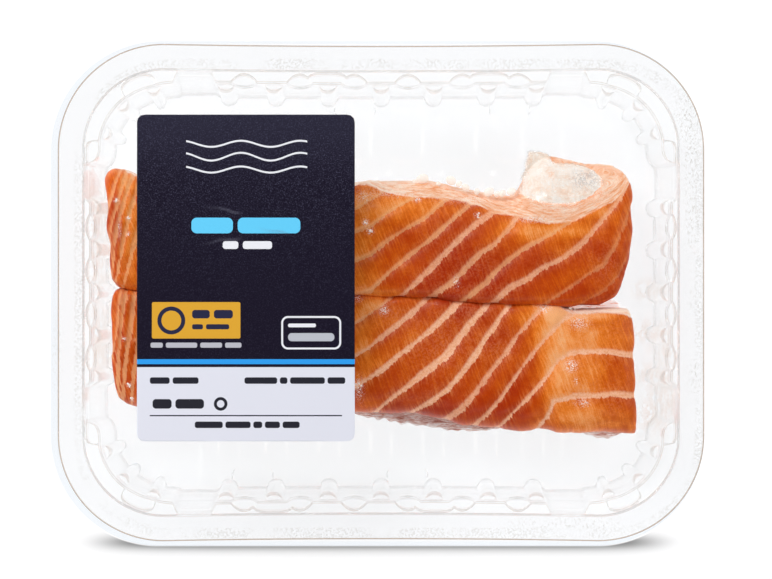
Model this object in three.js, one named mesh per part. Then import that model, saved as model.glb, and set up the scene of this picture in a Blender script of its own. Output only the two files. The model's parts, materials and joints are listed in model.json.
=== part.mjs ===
// Two salmon fillets on their skins in a sealed clear tray: a thin-walled tray, the film over it,
// a paper label on the film, two fillets with their skins, and the white belly lining of one.
// Millimetres, +Z up. The origin is under the middle of the film, on the surface the tray stands on.

import * as THREE from "three";

const tray = {
  length: 190,
  width: 146.2,
  height: 38,
  wall: 0.6,
  cornerRadius: 31.2,
  flangeWidth: 7.8,
  bow: 0.6, // how far each long side bows inwards at its middle
  ledgeDrop: 1.4, // from the flange down to the ledge inside it
  ledgeShort: 2.0,
  ledgeLong: 3.4,
  ledgeCorner: 4.4,
  ledgeBlend: 6, // the run over which the ledge changes its width at the ends of a corner
  shoulder: 8, // below the ledge, where the windows end and the ribs start
  draft: 2.4, // how far the wall leans in between the ledge and its foot
  shoulderShare: 0.22, // of the draft, above the shoulder
  footHeight: 2.6,
  footInset: 1.0,
  panelInset: 11.2, // from the flange's inner line to the raised panel of the floor
  panelSlope: 1.2,
  panelRise: 1.0,
  middle: [1.0, 0.3], // the tray sits a little off the middle of its film
};

const rib = { halfWidth: 2.6, crestHalf: 1.2, topDepth: 1.9, footDepth: 2.5, step: 0.3 };
const scoop = { halfWidth: 3.9, longReach: 2.4, shortReach: 1.2 };
const lug = { footHalf: 6.6, crestHalf: 4.7, reachGap: 0.3, shoulderShare: 0.8, footShare: 0.2 };
const windowLug = { slope: 0.7, reachGap: 0.6 };

const film = { length: 192, width: 148.4, thickness: 0.25, cornerRadius: 32.4 };
const label = { width: 64, height: 96, thickness: 0.2, cornerRadius: 2.2, middle: [-38.7, 4.6] };

const skin = {
  thickness: 1.1,
  clearance: 0.15, // over the floor's panel
  ends: [-0.975, 0.985], // just short of the fillet's ends, which are at -1 and 1
  margin: 1.2, // short of the fillet's long edges
};
const fleshClearance = 0.3; // between a fillet and its skin

// The outline knots run from left to right along the fillet's edge nearest the viewer and its far edge.
const backFillet = {
  left: -80.0,
  right: 76.2,
  height: 24.5,
  nearEdge: [[-81, 5], [-74, 1.6], [-40, 0.2], [-6.8, -0.5], [18.6, -2.6], [51.5, -3.1], [64, -2],
    [72, 4], [76.5, 10]],
  farEdge: [[-81, 35.5], [-72, 35.8], [-40, 34.6], [-6.8, 33.6], [6.6, 33.2], [21.6, 30.9], [33.5, 29],
    [41, 29.2], [47, 39], [55, 41.2], [66, 37.6], [76.5, 33]],
  cornerLeft: 0.1,
  cornerRight: 0.3,
  nearPower: 3.4,
  farPower: [3.2, 1.9], // at the left end, and towards the belly end
  flakeRise: 0.78,
  flakeSpacing: 9.4,
};
const frontFillet = {
  left: -79.8,
  right: 77.4,
  height: 22.5,
  nearEdge: [[-81, -29], [-74, -33], [-40, -35.2], [-6.8, -35.6], [6.6, -36.4], [20.6, -38.4], [34.4, -40.8],
    [48.5, -41], [66.4, -42.2], [78, -41.5]],
  farEdge: [[-81, 0.5], [-74, 0.6], [-40, -0.9], [-6.8, -1.6], [18.6, -3.8], [51.5, -4.4], [66, -5],
    [78, -7]],
  cornerLeft: 0.12,
  cornerRight: 0.06,
  nearPower: 3.6,
  farPower: [3.4, 3.4],
  flakeRise: 1.05,
  flakeSpacing: 10.6,
};
const flakeRelief = 0.45;
const levelFlakesFrom = 53; // right of this the front fillet's flakes run level
const bellyBlend = [-10, 42]; // where the far slope grows gentler, along the fillet
const section = { widestShare: 0.32, underPower: 6, topEndPower: 14, underEndPower: 10 };
const lining = {
  thickness: 1.4,
  lift: 1.1,
  left: [[41.4, 30.2], [44.6, 42.6]],
  nearEdge: [[41, 30.2], [47, 27], [54.6, 26.2], [61.5, 27.6], [67.4, 32.4]],
  farEdge: [[41, 42.6], [50.4, 42.6], [52.4, 39.6], [58.2, 39.2], [63.6, 37.6], [67.4, 33.6]],
};

const lerp = THREE.MathUtils.lerp;
const smooth = (value, low, high) => THREE.MathUtils.smoothstep(value, low, high);

// The height of a smooth curve through knots, at x. Beyond the ends it keeps the end knot's height.
function curveAt(knots, x) {
  const last = knots.length - 1;
  const clamped = THREE.MathUtils.clamp(x, knots[0][0], knots[last][0]);
  let i = 0;
  while (i < last - 1 && knots[i + 1][0] < clamped) i += 1;
  const [x0, y0] = knots[i];
  const [x1, y1] = knots[i + 1];
  const slope = (k) => {
    const a = knots[Math.max(k - 1, 0)];
    const b = knots[Math.min(k + 1, last)];
    return (b[1] - a[1]) / (b[0] - a[0]);
  };
  const span = x1 - x0;
  const u = (clamped - x0) / span;
  const v = 1 - u;
  const lean = slope(i) * v - slope(i + 1) * u;
  return y0 * v * v * (1 + 2 * u) + y1 * u * u * (3 - 2 * u) + span * u * v * lean;
}

function geometryOf(points, faces) {
  const geometry = new THREE.BufferGeometry();
  geometry.setAttribute("position", new THREE.Float32BufferAttribute(points.flat(), 3));
  geometry.setIndex(faces.flat());
  geometry.computeVertexNormals();
  return geometry;
}

// The tray's rings follow the flange's inner line. A quarter of it is measured as a run from the
// middle of a short side, round the corner, to the middle of a long side.
const innerHalfLength = tray.length / 2 - tray.flangeWidth;
const innerHalfWidth = tray.width / 2 - tray.flangeWidth;
const innerRadius = tray.cornerRadius - tray.flangeWidth;
const shortHalf = innerHalfWidth - innerRadius;
const longHalf = innerHalfLength - innerRadius;
const cornerRun = (innerRadius * Math.PI) / 2;
const cornerEnd = shortHalf + cornerRun;
const quarterRun = cornerEnd + longHalf;
const onShort = (y) => y;
const onCorner = (degrees) => shortHalf + THREE.MathUtils.degToRad(degrees) * innerRadius;
const onLong = (x) => quarterRun - x;

const ribRuns = [
  ...[0, 12.7, 25.4].map(onShort),
  ...[16.5, 47, 79].map(onCorner),
  ...[46, 31.8, 15.8, 0].map(onLong),
];
const scoopRuns = [...[6.4, 19.3].map(onShort), ...[40.3, 23.9, 7.9].map(onLong)];
const lugRuns = [onShort(32.7), onLong(55)];
const endWindow = { run: onShort(41), half: 3.2 };
const cornerWindow = { run: onCorner(68), half: 5 };
const oddWindow = { run: onLong(31.8), half: 5 };
const evenWindow = { run: onLong(15.8), half: 5 };
const windowsOf = (quarter) => [endWindow, cornerWindow, quarter % 2 ? evenWindow : oddWindow];

const ledgeAt = (run) =>
  tray.ledgeShort +
  (tray.ledgeCorner - tray.ledgeShort) * smooth(run, shortHalf - tray.ledgeBlend, shortHalf) -
  (tray.ledgeCorner - tray.ledgeLong) * smooth(run, cornerEnd - tray.ledgeBlend, cornerEnd + tray.ledgeBlend);

// How far each kind of recess pushes the wall outwards at a run, and how much of a rib stands there.
function scoopAt(run) {
  const reach = run < shortHalf ? scoop.shortReach : scoop.longReach;
  const nearest = Math.min(...scoopRuns.map((at) => Math.abs(run - at)));
  return reach * Math.max(0, 1 - (nearest / scoop.halfWidth) ** 2);
}
function lugAt(run) {
  const nearest = Math.min(...lugRuns.map((at) => Math.abs(run - at)));
  return (ledgeAt(run) - lug.reachGap) * (1 - smooth(nearest, lug.crestHalf, lug.footHalf));
}
function windowAt(run, quarter) {
  const openAt = (w) => 1 - smooth(Math.abs(run - w.run), w.half, w.half + windowLug.slope);
  return (ledgeAt(run) - windowLug.reachGap) * Math.max(...windowsOf(quarter).map(openAt));
}
function ribAt(run) {
  const nearest = Math.min(...ribRuns.map((at) => Math.abs(run - at)));
  return Math.sqrt(Math.max(0, 1 - (nearest / rib.halfWidth) ** 2));
}

// The inside face of the wall at one run, from the flange's rim to the floor: distance out from the
// flange's inner line, and height.
function insideOf(run, quarter) {
  const ledge = ledgeAt(run);
  const ledgeHeight = tray.height - tray.ledgeDrop;
  const recess = windowAt(run, quarter);
  const pocket = lugAt(run);
  const ridge = ribAt(run);
  const shoulderOut = -ledge - tray.draft * tray.shoulderShare;
  const footOut = -ledge - tray.draft + lug.footShare * pocket;
  const foot = tray.wall + tray.footHeight;
  return [
    [tray.flangeWidth, tray.height],
    [0, tray.height],
    [-ledge + Math.max(scoopAt(run), recess, pocket), ledgeHeight],
    [shoulderOut + Math.max(recess, lug.shoulderShare * pocket), ledgeHeight - tray.shoulder + rib.step],
    [shoulderOut + lug.shoulderShare * pocket - rib.topDepth * ridge, ledgeHeight - tray.shoulder],
    [footOut - rib.footDepth * ridge, foot],
    [footOut - tray.footInset - rib.footDepth * ridge, tray.wall],
  ];
}

// A point at a run of a quarter, a distance out from the flange's inner line. Quarters go round
// anticlockwise from the right-hand short side; every second one is run backwards.
function trayPoint(run, quarter, out, height) {
  const signX = quarter === 0 || quarter === 3 ? 1 : -1;
  const signY = quarter < 2 ? 1 : -1;
  let x = innerHalfLength + out;
  let y = run;
  if (run > cornerEnd) {
    x = quarterRun - run;
    y = innerHalfWidth + out - tray.bow * (1 - (x / longHalf) ** 2);
  } else if (run > shortHalf) {
    const angle = (run - shortHalf) / innerRadius;
    x = longHalf + (innerRadius + out) * Math.cos(angle);
    y = shortHalf + (innerRadius + out) * Math.sin(angle);
  }
  return [tray.middle[0] + signX * x, tray.middle[1] + signY * y, height];
}

// Where the wall has a column: at the edges and crests of its ribs and recesses, and round the corners.
function columnRuns() {
  const leastGap = 0.4;
  const around = (centres, offsets) => centres.flatMap((at) => offsets.flatMap((d) => [at - d, at + d]));
  const openings = [endWindow, cornerWindow, oddWindow, evenWindow];
  const wanted = [
    ...around(ribRuns, [rib.halfWidth, rib.crestHalf]),
    ...around(scoopRuns, [scoop.halfWidth, 0]),
    ...around(lugRuns, [lug.footHalf, lug.crestHalf]),
    ...openings.flatMap((w) => around([w.run], [w.half, w.half + windowLug.slope])),
    ...[6, 29, 35, 64].map(onCorner),
  ];
  const inQuarter = wanted.filter((run) => run > leastGap && run < quarterRun - leastGap);
  inQuarter.sort((a, b) => a - b);
  const apart = inQuarter.filter((run, i) => i === 0 || run - inQuarter[i - 1] > leastGap);
  return [0, ...apart, quarterRun];
}

function columnsRound() {
  const runs = columnRuns();
  const columns = [];
  for (let quarter = 0; quarter < 4; quarter += 1) {
    const ordered = quarter % 2 ? [...runs].reverse() : runs;
    ordered.slice(0, -1).forEach((run) => columns.push({ run, quarter }));
  }
  return columns;
}

// The tray's floor has a raised panel: a rounded rectangle within the wall's foot.
function panelRing(inset, height) {
  const cornerSteps = 6;
  const cornerAt = (_, i) => shortHalf + (cornerRun * i) / cornerSteps;
  const cornerRuns = Array.from({ length: cornerSteps + 1 }, cornerAt);
  const runs = [0, shortHalf / 2, ...cornerRuns, onLong(longHalf / 2), quarterRun];
  const ring = [];
  for (let quarter = 0; quarter < 4; quarter += 1) {
    const ordered = quarter % 2 ? [...runs].reverse() : runs;
    ordered.slice(0, -1).forEach((run) => ring.push(trayPoint(run, quarter, -inset, height)));
  }
  return ring;
}

function trayGeometry() {
  const columns = columnsRound();
  const inside = columns.map(({ run, quarter }) => insideOf(run, quarter));
  const rowCount = inside[0].length;
  const points = [];
  const faces = [];
  const addRing = (ring) => {
    const first = points.length;
    points.push(...ring);
    return ring.map((_, i) => first + i);
  };
  const band = (upper, lower) =>
    upper.forEach((a, i) => {
      const next = (i + 1) % upper.length;
      faces.push([a, upper[next], lower[i]], [upper[next], lower[next], lower[i]]);
    });
  const flat = (outer, hole, facesUp) => {
    const plan = (ring) => ring.map((index) => new THREE.Vector2(points[index][0], points[index][1]));
    const indices = [...outer, ...(hole ?? [])];
    const triangles = THREE.ShapeUtils.triangulateShape(plan(outer), hole ? [plan(hole)] : []);
    triangles.forEach((triangle) => {
      const [a, b, c] = triangle.map((k) => indices[k]);
      const area = new THREE.Vector2(points[b][0] - points[a][0], points[b][1] - points[a][1]).cross(
        new THREE.Vector2(points[c][0] - points[a][0], points[c][1] - points[a][1]),
      );
      faces.push(area > 0 === facesUp ? [a, b, c] : [a, c, b]);
    });
  };
  const wallRing = (row, out, down) =>
    addRing(columns.map(({ run, quarter }, i) => {
      const [distance, height] = inside[i][row];
      return trayPoint(run, quarter, distance + out, height - down);
    }));

  const rows = Array.from({ length: rowCount }, (_, row) => row);
  const upper = rows.map((row) => wallRing(row, 0, 0));
  const under = rows.map((row) => wallRing(row, row === 0 ? 0 : tray.wall, tray.wall));
  for (let row = 0; row + 1 < rowCount; row += 1) {
    band(upper[row], upper[row + 1]);
    band(under[row + 1], under[row]);
  }
  band(under[0], upper[0]);
  const floors = [[upper.at(-1), tray.wall, true], [under.at(-1), 0, false]];
  floors.forEach(([edge, height, facesUp]) => {
    const panelFoot = addRing(panelRing(tray.panelInset, height));
    const panelTop = addRing(panelRing(tray.panelInset + tray.panelSlope, height + tray.panelRise));
    flat(edge, panelFoot, facesUp);
    if (facesUp) band(panelFoot, panelTop);
    else band(panelTop, panelFoot);
    flat(panelTop, null, facesUp);
  });
  return geometryOf(points, faces);
}

// A plate cut from a shape, its underside at the given height.
function plateGeometry(shape, thickness, height, curveSegments) {
  const geometry = new THREE.ExtrudeGeometry(shape, { depth: thickness, bevelEnabled: false, curveSegments });
  return geometry.translate(0, 0, height);
}

function roundedPlate(width, depth, radius, bow) {
  const x = width / 2;
  const y = depth / 2;
  const shape = new THREE.Shape();
  shape.moveTo(x - radius, -y);
  shape.absarc(x - radius, -y + radius, radius, -Math.PI / 2, 0, false);
  shape.absarc(x - radius, y - radius, radius, 0, Math.PI / 2, false);
  if (bow) shape.quadraticCurveTo(0, y - 2 * bow, -x + radius, y);
  shape.absarc(-x + radius, y - radius, radius, Math.PI / 2, Math.PI, false);
  shape.absarc(-x + radius, -y + radius, radius, Math.PI, 1.5 * Math.PI, false);
  if (bow) shape.quadraticCurveTo(0, -y + 2 * bow, x - radius, -y);
  else shape.closePath();
  return shape;
}

// Where a fillet's grid point lies in plan: s runs from its left end to its right, t from its near edge
// to its far edge, both from -1 to 1. The corners are drawn in by the roundness of their end.
function planOf(fillet, s, t) {
  const round = s < 0 ? fillet.cornerLeft : fillet.cornerRight;
  const along = s * Math.sqrt(1 - (round * t * t) / 2);
  const across = t * Math.sqrt(1 - (round * s * s) / 2);
  const x = lerp(fillet.left, fillet.right, (along + 1) / 2);
  const y = lerp(curveAt(fillet.nearEdge, x), curveAt(fillet.farEdge, x), (across + 1) / 2);
  return [x, y];
}

// The flakes of the flesh swell a little between the fat lines, which climb to the right.
function flakeSwell(fillet, x, y) {
  const bend = fillet === frontFillet ? Math.min(x, levelFlakesFrom) : x;
  const phase = (y - fillet.flakeRise * bend) / fillet.flakeSpacing;
  const across = 2 * (phase - Math.floor(phase)) - 1;
  return flakeRelief * (1 - across * across);
}

const skinHeight = tray.wall + tray.panelRise + skin.clearance;
const filletBottom = skinHeight + skin.thickness + fleshClearance;

// The surface of a fillet over or under a grid point. Both meet at its widest level, where it is full.
function filletHeight(fillet, s, t, x, y, isTop) {
  const widest = filletBottom + section.widestShare * fillet.height;
  const endPower = isTop ? section.topEndPower : section.underEndPower;
  const farPower = lerp(fillet.farPower[0], fillet.farPower[1], smooth(x, bellyBlend[0], bellyBlend[1]));
  const topPower = t > 0 ? farPower : fillet.nearPower;
  const power = isTop ? topPower : section.underPower;
  const acrossShare = (1 - Math.abs(t) ** power) ** (1 / power);
  const alongShare = (1 - Math.abs(s) ** endPower) ** (1 / endPower);
  const share = acrossShare * alongShare;
  const rise = fillet.height - (widest - filletBottom);
  if (isTop) return widest + rise * share + flakeSwell(fillet, x, y) * share * share;
  return widest - (widest - filletBottom) * share;
}

// A closed skin over a grid: one face above, one below, joined round the edge where they meet.
function pillowGeometry(columns, rows, place) {
  const points = [];
  const faces = [];
  const indexOf = new Map();
  const at = (i, j, isTop) => {
    const onEdge = i === 0 || j === 0 || i === columns || j === rows;
    const key = `${i},${j},${onEdge || isTop}`;
    if (!indexOf.has(key)) {
      indexOf.set(key, points.length);
      points.push(place(i / columns, j / rows, isTop));
    }
    return indexOf.get(key);
  };
  for (const isTop of [true, false]) {
    for (let i = 0; i < columns; i += 1) {
      for (let j = 0; j < rows; j += 1) {
        const a = at(i, j, isTop);
        const b = at(i + 1, j, isTop);
        const c = at(i + 1, j + 1, isTop);
        const d = at(i, j + 1, isTop);
        faces.push(...(isTop ? [[a, b, c], [a, c, d]] : [[a, c, b], [a, d, c]]));
      }
    }
  }
  return geometryOf(points, faces);
}

// Evenly spread from -1 to 1, but closer together towards both ends.
const crowded = (share, power) => {
  const signed = 2 * share - 1;
  return Math.sign(signed) * (1 - (1 - Math.abs(signed)) ** power);
};

function filletGeometry(fillet) {
  const along = { steps: 44, crowding: 1.25 };
  const across = { steps: 12, crowding: 1.5 };
  return pillowGeometry(along.steps, across.steps, (u, v, isTop) => {
    const s = crowded(u, along.crowding);
    const t = crowded(v, across.crowding);
    const [x, y] = planOf(fillet, s, t);
    return [x, y, filletHeight(fillet, s, t, x, y, isTop)];
  });
}

// A skin lies flat under its fillet, just short of its outline, with the near edge left to stick out in
// places: tabs of [from, to, reach] along the fillet.
function skinShape(fillet, tabs) {
  const steps = 26;
  const tabFullness = 0.6;
  const outline = [];
  const tabAt = (x) => Math.max(0, ...tabs.map(([from, to, reach]) =>
    (x > from && x < to ? reach * Math.sin((Math.PI * (x - from)) / (to - from)) ** tabFullness : 0)));
  for (let i = 0; i <= steps; i += 1) {
    const [x, y] = planOf(fillet, lerp(skin.ends[0], skin.ends[1], i / steps), -1);
    outline.push(new THREE.Vector2(x, y + skin.margin - tabAt(x)));
  }
  for (let i = steps; i >= 0; i -= 1) {
    const [x, y] = planOf(fillet, lerp(skin.ends[0], skin.ends[1], i / steps), 1);
    outline.push(new THREE.Vector2(x, y - skin.margin));
  }
  return new THREE.Shape(outline);
}

// The belly lining rests on the far slope of the back fillet's right end.
function liningGeometry() {
  const alongSteps = 10;
  const acrossSteps = 6;
  const rim = 0.985; // the fillet's far edge is at 1, where its slope is upright
  const [first, last] = lining.left;
  const right = lining.nearEdge.at(-1)[0];
  const restingOn = (x, y) => {
    const near = curveAt(backFillet.nearEdge, x);
    const far = curveAt(backFillet.farEdge, x);
    const t = THREE.MathUtils.clamp((2 * (y - near)) / (far - near) - 1, -1, rim);
    return filletHeight(backFillet, 0.5, t, x, y, true);
  };
  return pillowGeometry(alongSteps, acrossSteps, (u, v, isTop) => {
    const startX = lerp(first[0], last[0], v);
    const x = lerp(startX, right, u);
    const y = lerp(curveAt(lining.nearEdge, x), curveAt(lining.farEdge, x), v);
    const fromEdge = Math.min(u, 1 - u, v, 1 - v);
    const half = (lining.thickness / 2) * Math.min(1, acrossSteps * fromEdge);
    return [x, y, restingOn(x, y) + lining.lift + (isTop ? half : -half)];
  });
}

function standardMaterial(color, roughness, options = {}) {
  return new THREE.MeshStandardMaterial({ color, roughness, metalness: 0, ...options });
}

const clearPlastic = standardMaterial("#eef2f3", 0.08, { transparent: true, opacity: 0.25 });
const clearFilm = standardMaterial("#f4f7f8", 0.05, { transparent: true, opacity: 0.15 });
const darkPaper = standardMaterial("#1f1f2b", 0.55);
const flesh = standardMaterial("#d0702f", 0.35);
const silverSkin = standardMaterial("#a98f8b", 0.3);
const whiteLining = standardMaterial("#e9dccb", 0.4);

const pack = new THREE.Group();
function addPiece(name, geometry, material) {
  const piece = new THREE.Mesh(geometry, material);
  piece.name = name;
  pack.add(piece);
  return piece;
}

const filmShape = roundedPlate(film.length, film.width, film.cornerRadius, tray.bow / 2);
const labelShape = roundedPlate(label.width, label.height, label.cornerRadius, 0);
addPiece("tray", trayGeometry(), clearPlastic);
addPiece("lid_film", plateGeometry(filmShape, film.thickness, tray.height, 12), clearFilm);
const labelGeometry = plateGeometry(labelShape, label.thickness, tray.height + film.thickness, 4);
addPiece("label", labelGeometry, darkPaper).position.set(label.middle[0], label.middle[1], 0);
addPiece("fillet_back", filletGeometry(backFillet), flesh);
addPiece("fillet_front", filletGeometry(frontFillet), flesh);
const backSkin = skinShape(backFillet, []);
const frontSkin = skinShape(frontFillet, [[-12, 36, 3.2], [62, 76, 2.2]]);
addPiece("skin_back", plateGeometry(backSkin, skin.thickness, skinHeight, 1), silverSkin);
addPiece("skin_front", plateGeometry(frontSkin, skin.thickness, skinHeight, 1), silverSkin);
addPiece("belly_lining", liningGeometry(), whiteLining);

export default pack;
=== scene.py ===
import json

import bmesh
import bpy
import numpy as np
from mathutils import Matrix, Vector

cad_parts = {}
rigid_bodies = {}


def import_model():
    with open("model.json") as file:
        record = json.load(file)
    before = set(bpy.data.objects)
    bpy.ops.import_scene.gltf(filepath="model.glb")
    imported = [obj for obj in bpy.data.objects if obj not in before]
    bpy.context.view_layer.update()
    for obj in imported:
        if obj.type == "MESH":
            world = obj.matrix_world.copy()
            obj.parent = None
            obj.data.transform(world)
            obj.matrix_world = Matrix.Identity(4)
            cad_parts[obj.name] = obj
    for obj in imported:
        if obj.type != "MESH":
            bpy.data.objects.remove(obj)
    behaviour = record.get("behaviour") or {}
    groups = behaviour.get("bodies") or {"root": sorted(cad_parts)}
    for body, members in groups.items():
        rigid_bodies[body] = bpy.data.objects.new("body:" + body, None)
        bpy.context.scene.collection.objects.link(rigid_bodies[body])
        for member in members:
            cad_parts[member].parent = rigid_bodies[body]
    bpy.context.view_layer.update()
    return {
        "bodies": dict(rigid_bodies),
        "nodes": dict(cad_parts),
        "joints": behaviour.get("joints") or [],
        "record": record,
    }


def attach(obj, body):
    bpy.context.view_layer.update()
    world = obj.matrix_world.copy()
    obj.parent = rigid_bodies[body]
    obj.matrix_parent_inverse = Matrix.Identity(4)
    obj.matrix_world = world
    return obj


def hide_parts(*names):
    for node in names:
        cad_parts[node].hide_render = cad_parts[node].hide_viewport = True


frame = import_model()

mm = 0.001  # every size below is in millimetres, and the meshes are in metres
lineHeight = 25.0  # where the marks on the fish were measured
print("stage: frame loaded")

# The photograph looks straight down on the film.
view = {
    "distance": 1200.0,  # from the camera to the film
    "plane": 38.0,  # the film's height
    "middle": (2.47, 1.2),
    "middlePx": (386.0, 289.5),
    "widthPx": 772,
    "pxPerMm": 3.403,  # at the film
    "sensor": 36.0,
}


def onPack(px, py, height):
    # where on the pack, at this height, a pixel of the photograph lies
    spread = (1 + (view["plane"] - height) / view["distance"]) / view["pxPerMm"]
    x = (np.asarray(px, float) - view["middlePx"][0]) * spread + view["middle"][0]
    y = (view["middlePx"][1] - np.asarray(py, float)) * spread + view["middle"][1]
    return x, y


def outlineOnPack(pixels, height):
    px, py = np.array(pixels, float).T
    return np.stack(onPack(px, py, height), -1)


def smoothStep(value, low, high):
    share = np.clip((value - low) / (high - low), 0, 1)
    return share * share * (3 - 2 * share)


def blendOf(a, b, share):
    return a + (b - a) * share


def curveAt(knots, x):
    # the height at x of a smooth curve through the knots
    kx, ky = np.array(knots, float).T
    slope = np.empty_like(ky)
    slope[1:-1] = (ky[2:] - ky[:-2]) / (kx[2:] - kx[:-2])
    slope[0] = (ky[1] - ky[0]) / (kx[1] - kx[0])
    slope[-1] = (ky[-1] - ky[-2]) / (kx[-1] - kx[-2])
    x = np.clip(x, kx[0], kx[-1])
    i = np.clip(np.searchsorted(kx, x) - 1, 0, len(kx) - 2)
    span = kx[i + 1] - kx[i]
    u = (x - kx[i]) / span
    v = 1 - u
    lean = slope[i] * v - slope[i + 1] * u
    return ky[i] * v * v * (1 + 2 * u) + ky[i + 1] * u * u * (3 - 2 * u) + span * u * v * lean


def ripple(x, y, size, seed, waves=10):
    # a smooth random surface, mostly between -1 and 1, with waves of about this size
    draw = np.random.RandomState(seed)
    total = np.zeros(np.broadcast(x, y).shape)
    for _ in range(waves):
        angle, phase = draw.uniform(0, 2 * np.pi, 2)
        turns = 2 * np.pi / (size * draw.uniform(0.6, 1.7))
        total += np.sin((x * np.cos(angle) + y * np.sin(angle)) * turns + phase)
    return total / waves**0.5


def spots(x, y, marks):
    # soft round spots, each (px, py, reach along, reach across, amount) in the photograph's pixels
    total = np.zeros_like(x)
    for px, py, reachX, reachY, amount in marks:
        middleX, middleY = onPack(px, py, lineHeight)
        awayX = (x - middleX) * view["pxPerMm"] / reachX
        awayY = (y - middleY) * view["pxPerMm"] / reachY
        total += amount * np.exp(-(awayX**2) - awayY**2)
    return total


def gridFaces(rows, columns, columnsClose=False):
    i = np.arange(rows - 1)
    j = np.arange(columns if columnsClose else columns - 1)
    i, j = np.meshgrid(i, j, indexing="ij")
    nextJ = (j + 1) % columns
    here, above = i * columns, (i + 1) * columns
    return np.stack([here + j, here + nextJ, above + nextJ, above + j], -1).reshape(-1, 4)


def gridNormals(points, columnsClose=False):
    if columnsClose:
        across = np.roll(points, -1, 1) - np.roll(points, 1, 1)
    else:
        across = np.gradient(points, axis=1)
    along = np.gradient(points, axis=0)
    normal = np.cross(along, across)
    return normal / np.maximum(np.linalg.norm(normal, axis=-1, keepdims=True), 1e-9)


shortestEdge = 0.0005


def makeMesh(name, points, faces, attributes=None, mergeWithin=0.002):
    mesh = bpy.data.meshes.new(name)
    mesh.from_pydata((np.reshape(points, (-1, 3)) * mm).tolist(), [], np.asarray(faces).tolist())
    for key, values in (attributes or {}).items():
        values = np.asarray(values, np.float32)
        mesh.attributes.new(key, "FLOAT", "POINT").data.foreach_set("value", values.ravel())
    shape = bmesh.new()
    shape.from_mesh(mesh)
    bmesh.ops.remove_doubles(shape, verts=shape.verts, dist=mergeWithin * mm)
    bmesh.ops.dissolve_degenerate(shape, edges=shape.edges, dist=shortestEdge * mm)
    bmesh.ops.recalc_face_normals(shape, faces=shape.faces)
    shape.to_mesh(mesh)
    shape.free()
    mesh.shade_smooth()
    return mesh


def addPiece(name, mesh, finish, replaced=()):
    piece = bpy.data.objects.new(name, mesh)
    bpy.context.scene.collection.objects.link(piece)
    mesh.materials.clear()
    mesh.materials.append(finish)
    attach(piece, "root")
    if replaced:
        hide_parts(*replaced)
    print("stage: piece", name, len(mesh.polygons), "faces")
    return piece


class Wire:
    # a socket that can be reckoned with: each operation adds its Math node
    def __init__(self, tree, socket):
        self.tree = tree
        self.socket = socket

    def maths(self, operation, *others):
        return addNode(self.tree, "ShaderNodeMath", {"operation": operation}, (self, *others))

    def __add__(self, other):
        return self.maths("ADD", other)

    def __sub__(self, other):
        return self.maths("SUBTRACT", other)

    def __rsub__(self, other):
        return addNode(self.tree, "ShaderNodeMath", {"operation": "SUBTRACT"}, (other, self))

    def __mul__(self, other):
        return self.maths("MULTIPLY", other)

    def __truediv__(self, other):
        return self.maths("DIVIDE", other)

    def __pow__(self, other):
        return self.maths("POWER", other)

    def __abs__(self):
        return self.maths("ABSOLUTE")

    __radd__ = __add__
    __rmul__ = __mul__

    def least(self, other):
        return self.maths("MINIMUM", other)

    def most(self, other):
        return self.maths("MAXIMUM", other)

    def between(self, low, high):
        # 0 at low and 1 at high, with soft ends
        values = {"Value": self, "From Min": low, "From Max": high}
        return addNode(self.tree, "ShaderNodeMapRange", {"interpolation_type": "SMOOTHSTEP"}, values)


def addNode(tree, kind, settings=None, values=(), output=0):
    node = tree.nodes.new(kind)
    for key, value in (settings or {}).items():
        if key == "stops":
            ramp = node.color_ramp
            while len(ramp.elements) < len(value):
                ramp.elements.new(1)
            for element, (position, colour) in zip(ramp.elements, value):
                element.position = position
                element.color = (*colour, 1)
        else:
            setattr(node, key, value)
    shown = [socket for socket in node.inputs if socket.enabled]
    for key, value in (values.items() if isinstance(values, dict) else enumerate(values)):
        socket = shown[key] if isinstance(key, int) else next(s for s in shown if s.name == key)
        if isinstance(value, Wire):
            tree.links.new(value.socket, socket)
        elif socket.type == "RGBA":
            socket.default_value = (*value, 1)
        else:
            socket.default_value = value
    return Wire(tree, [socket for socket in node.outputs if socket.enabled][output])


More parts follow.
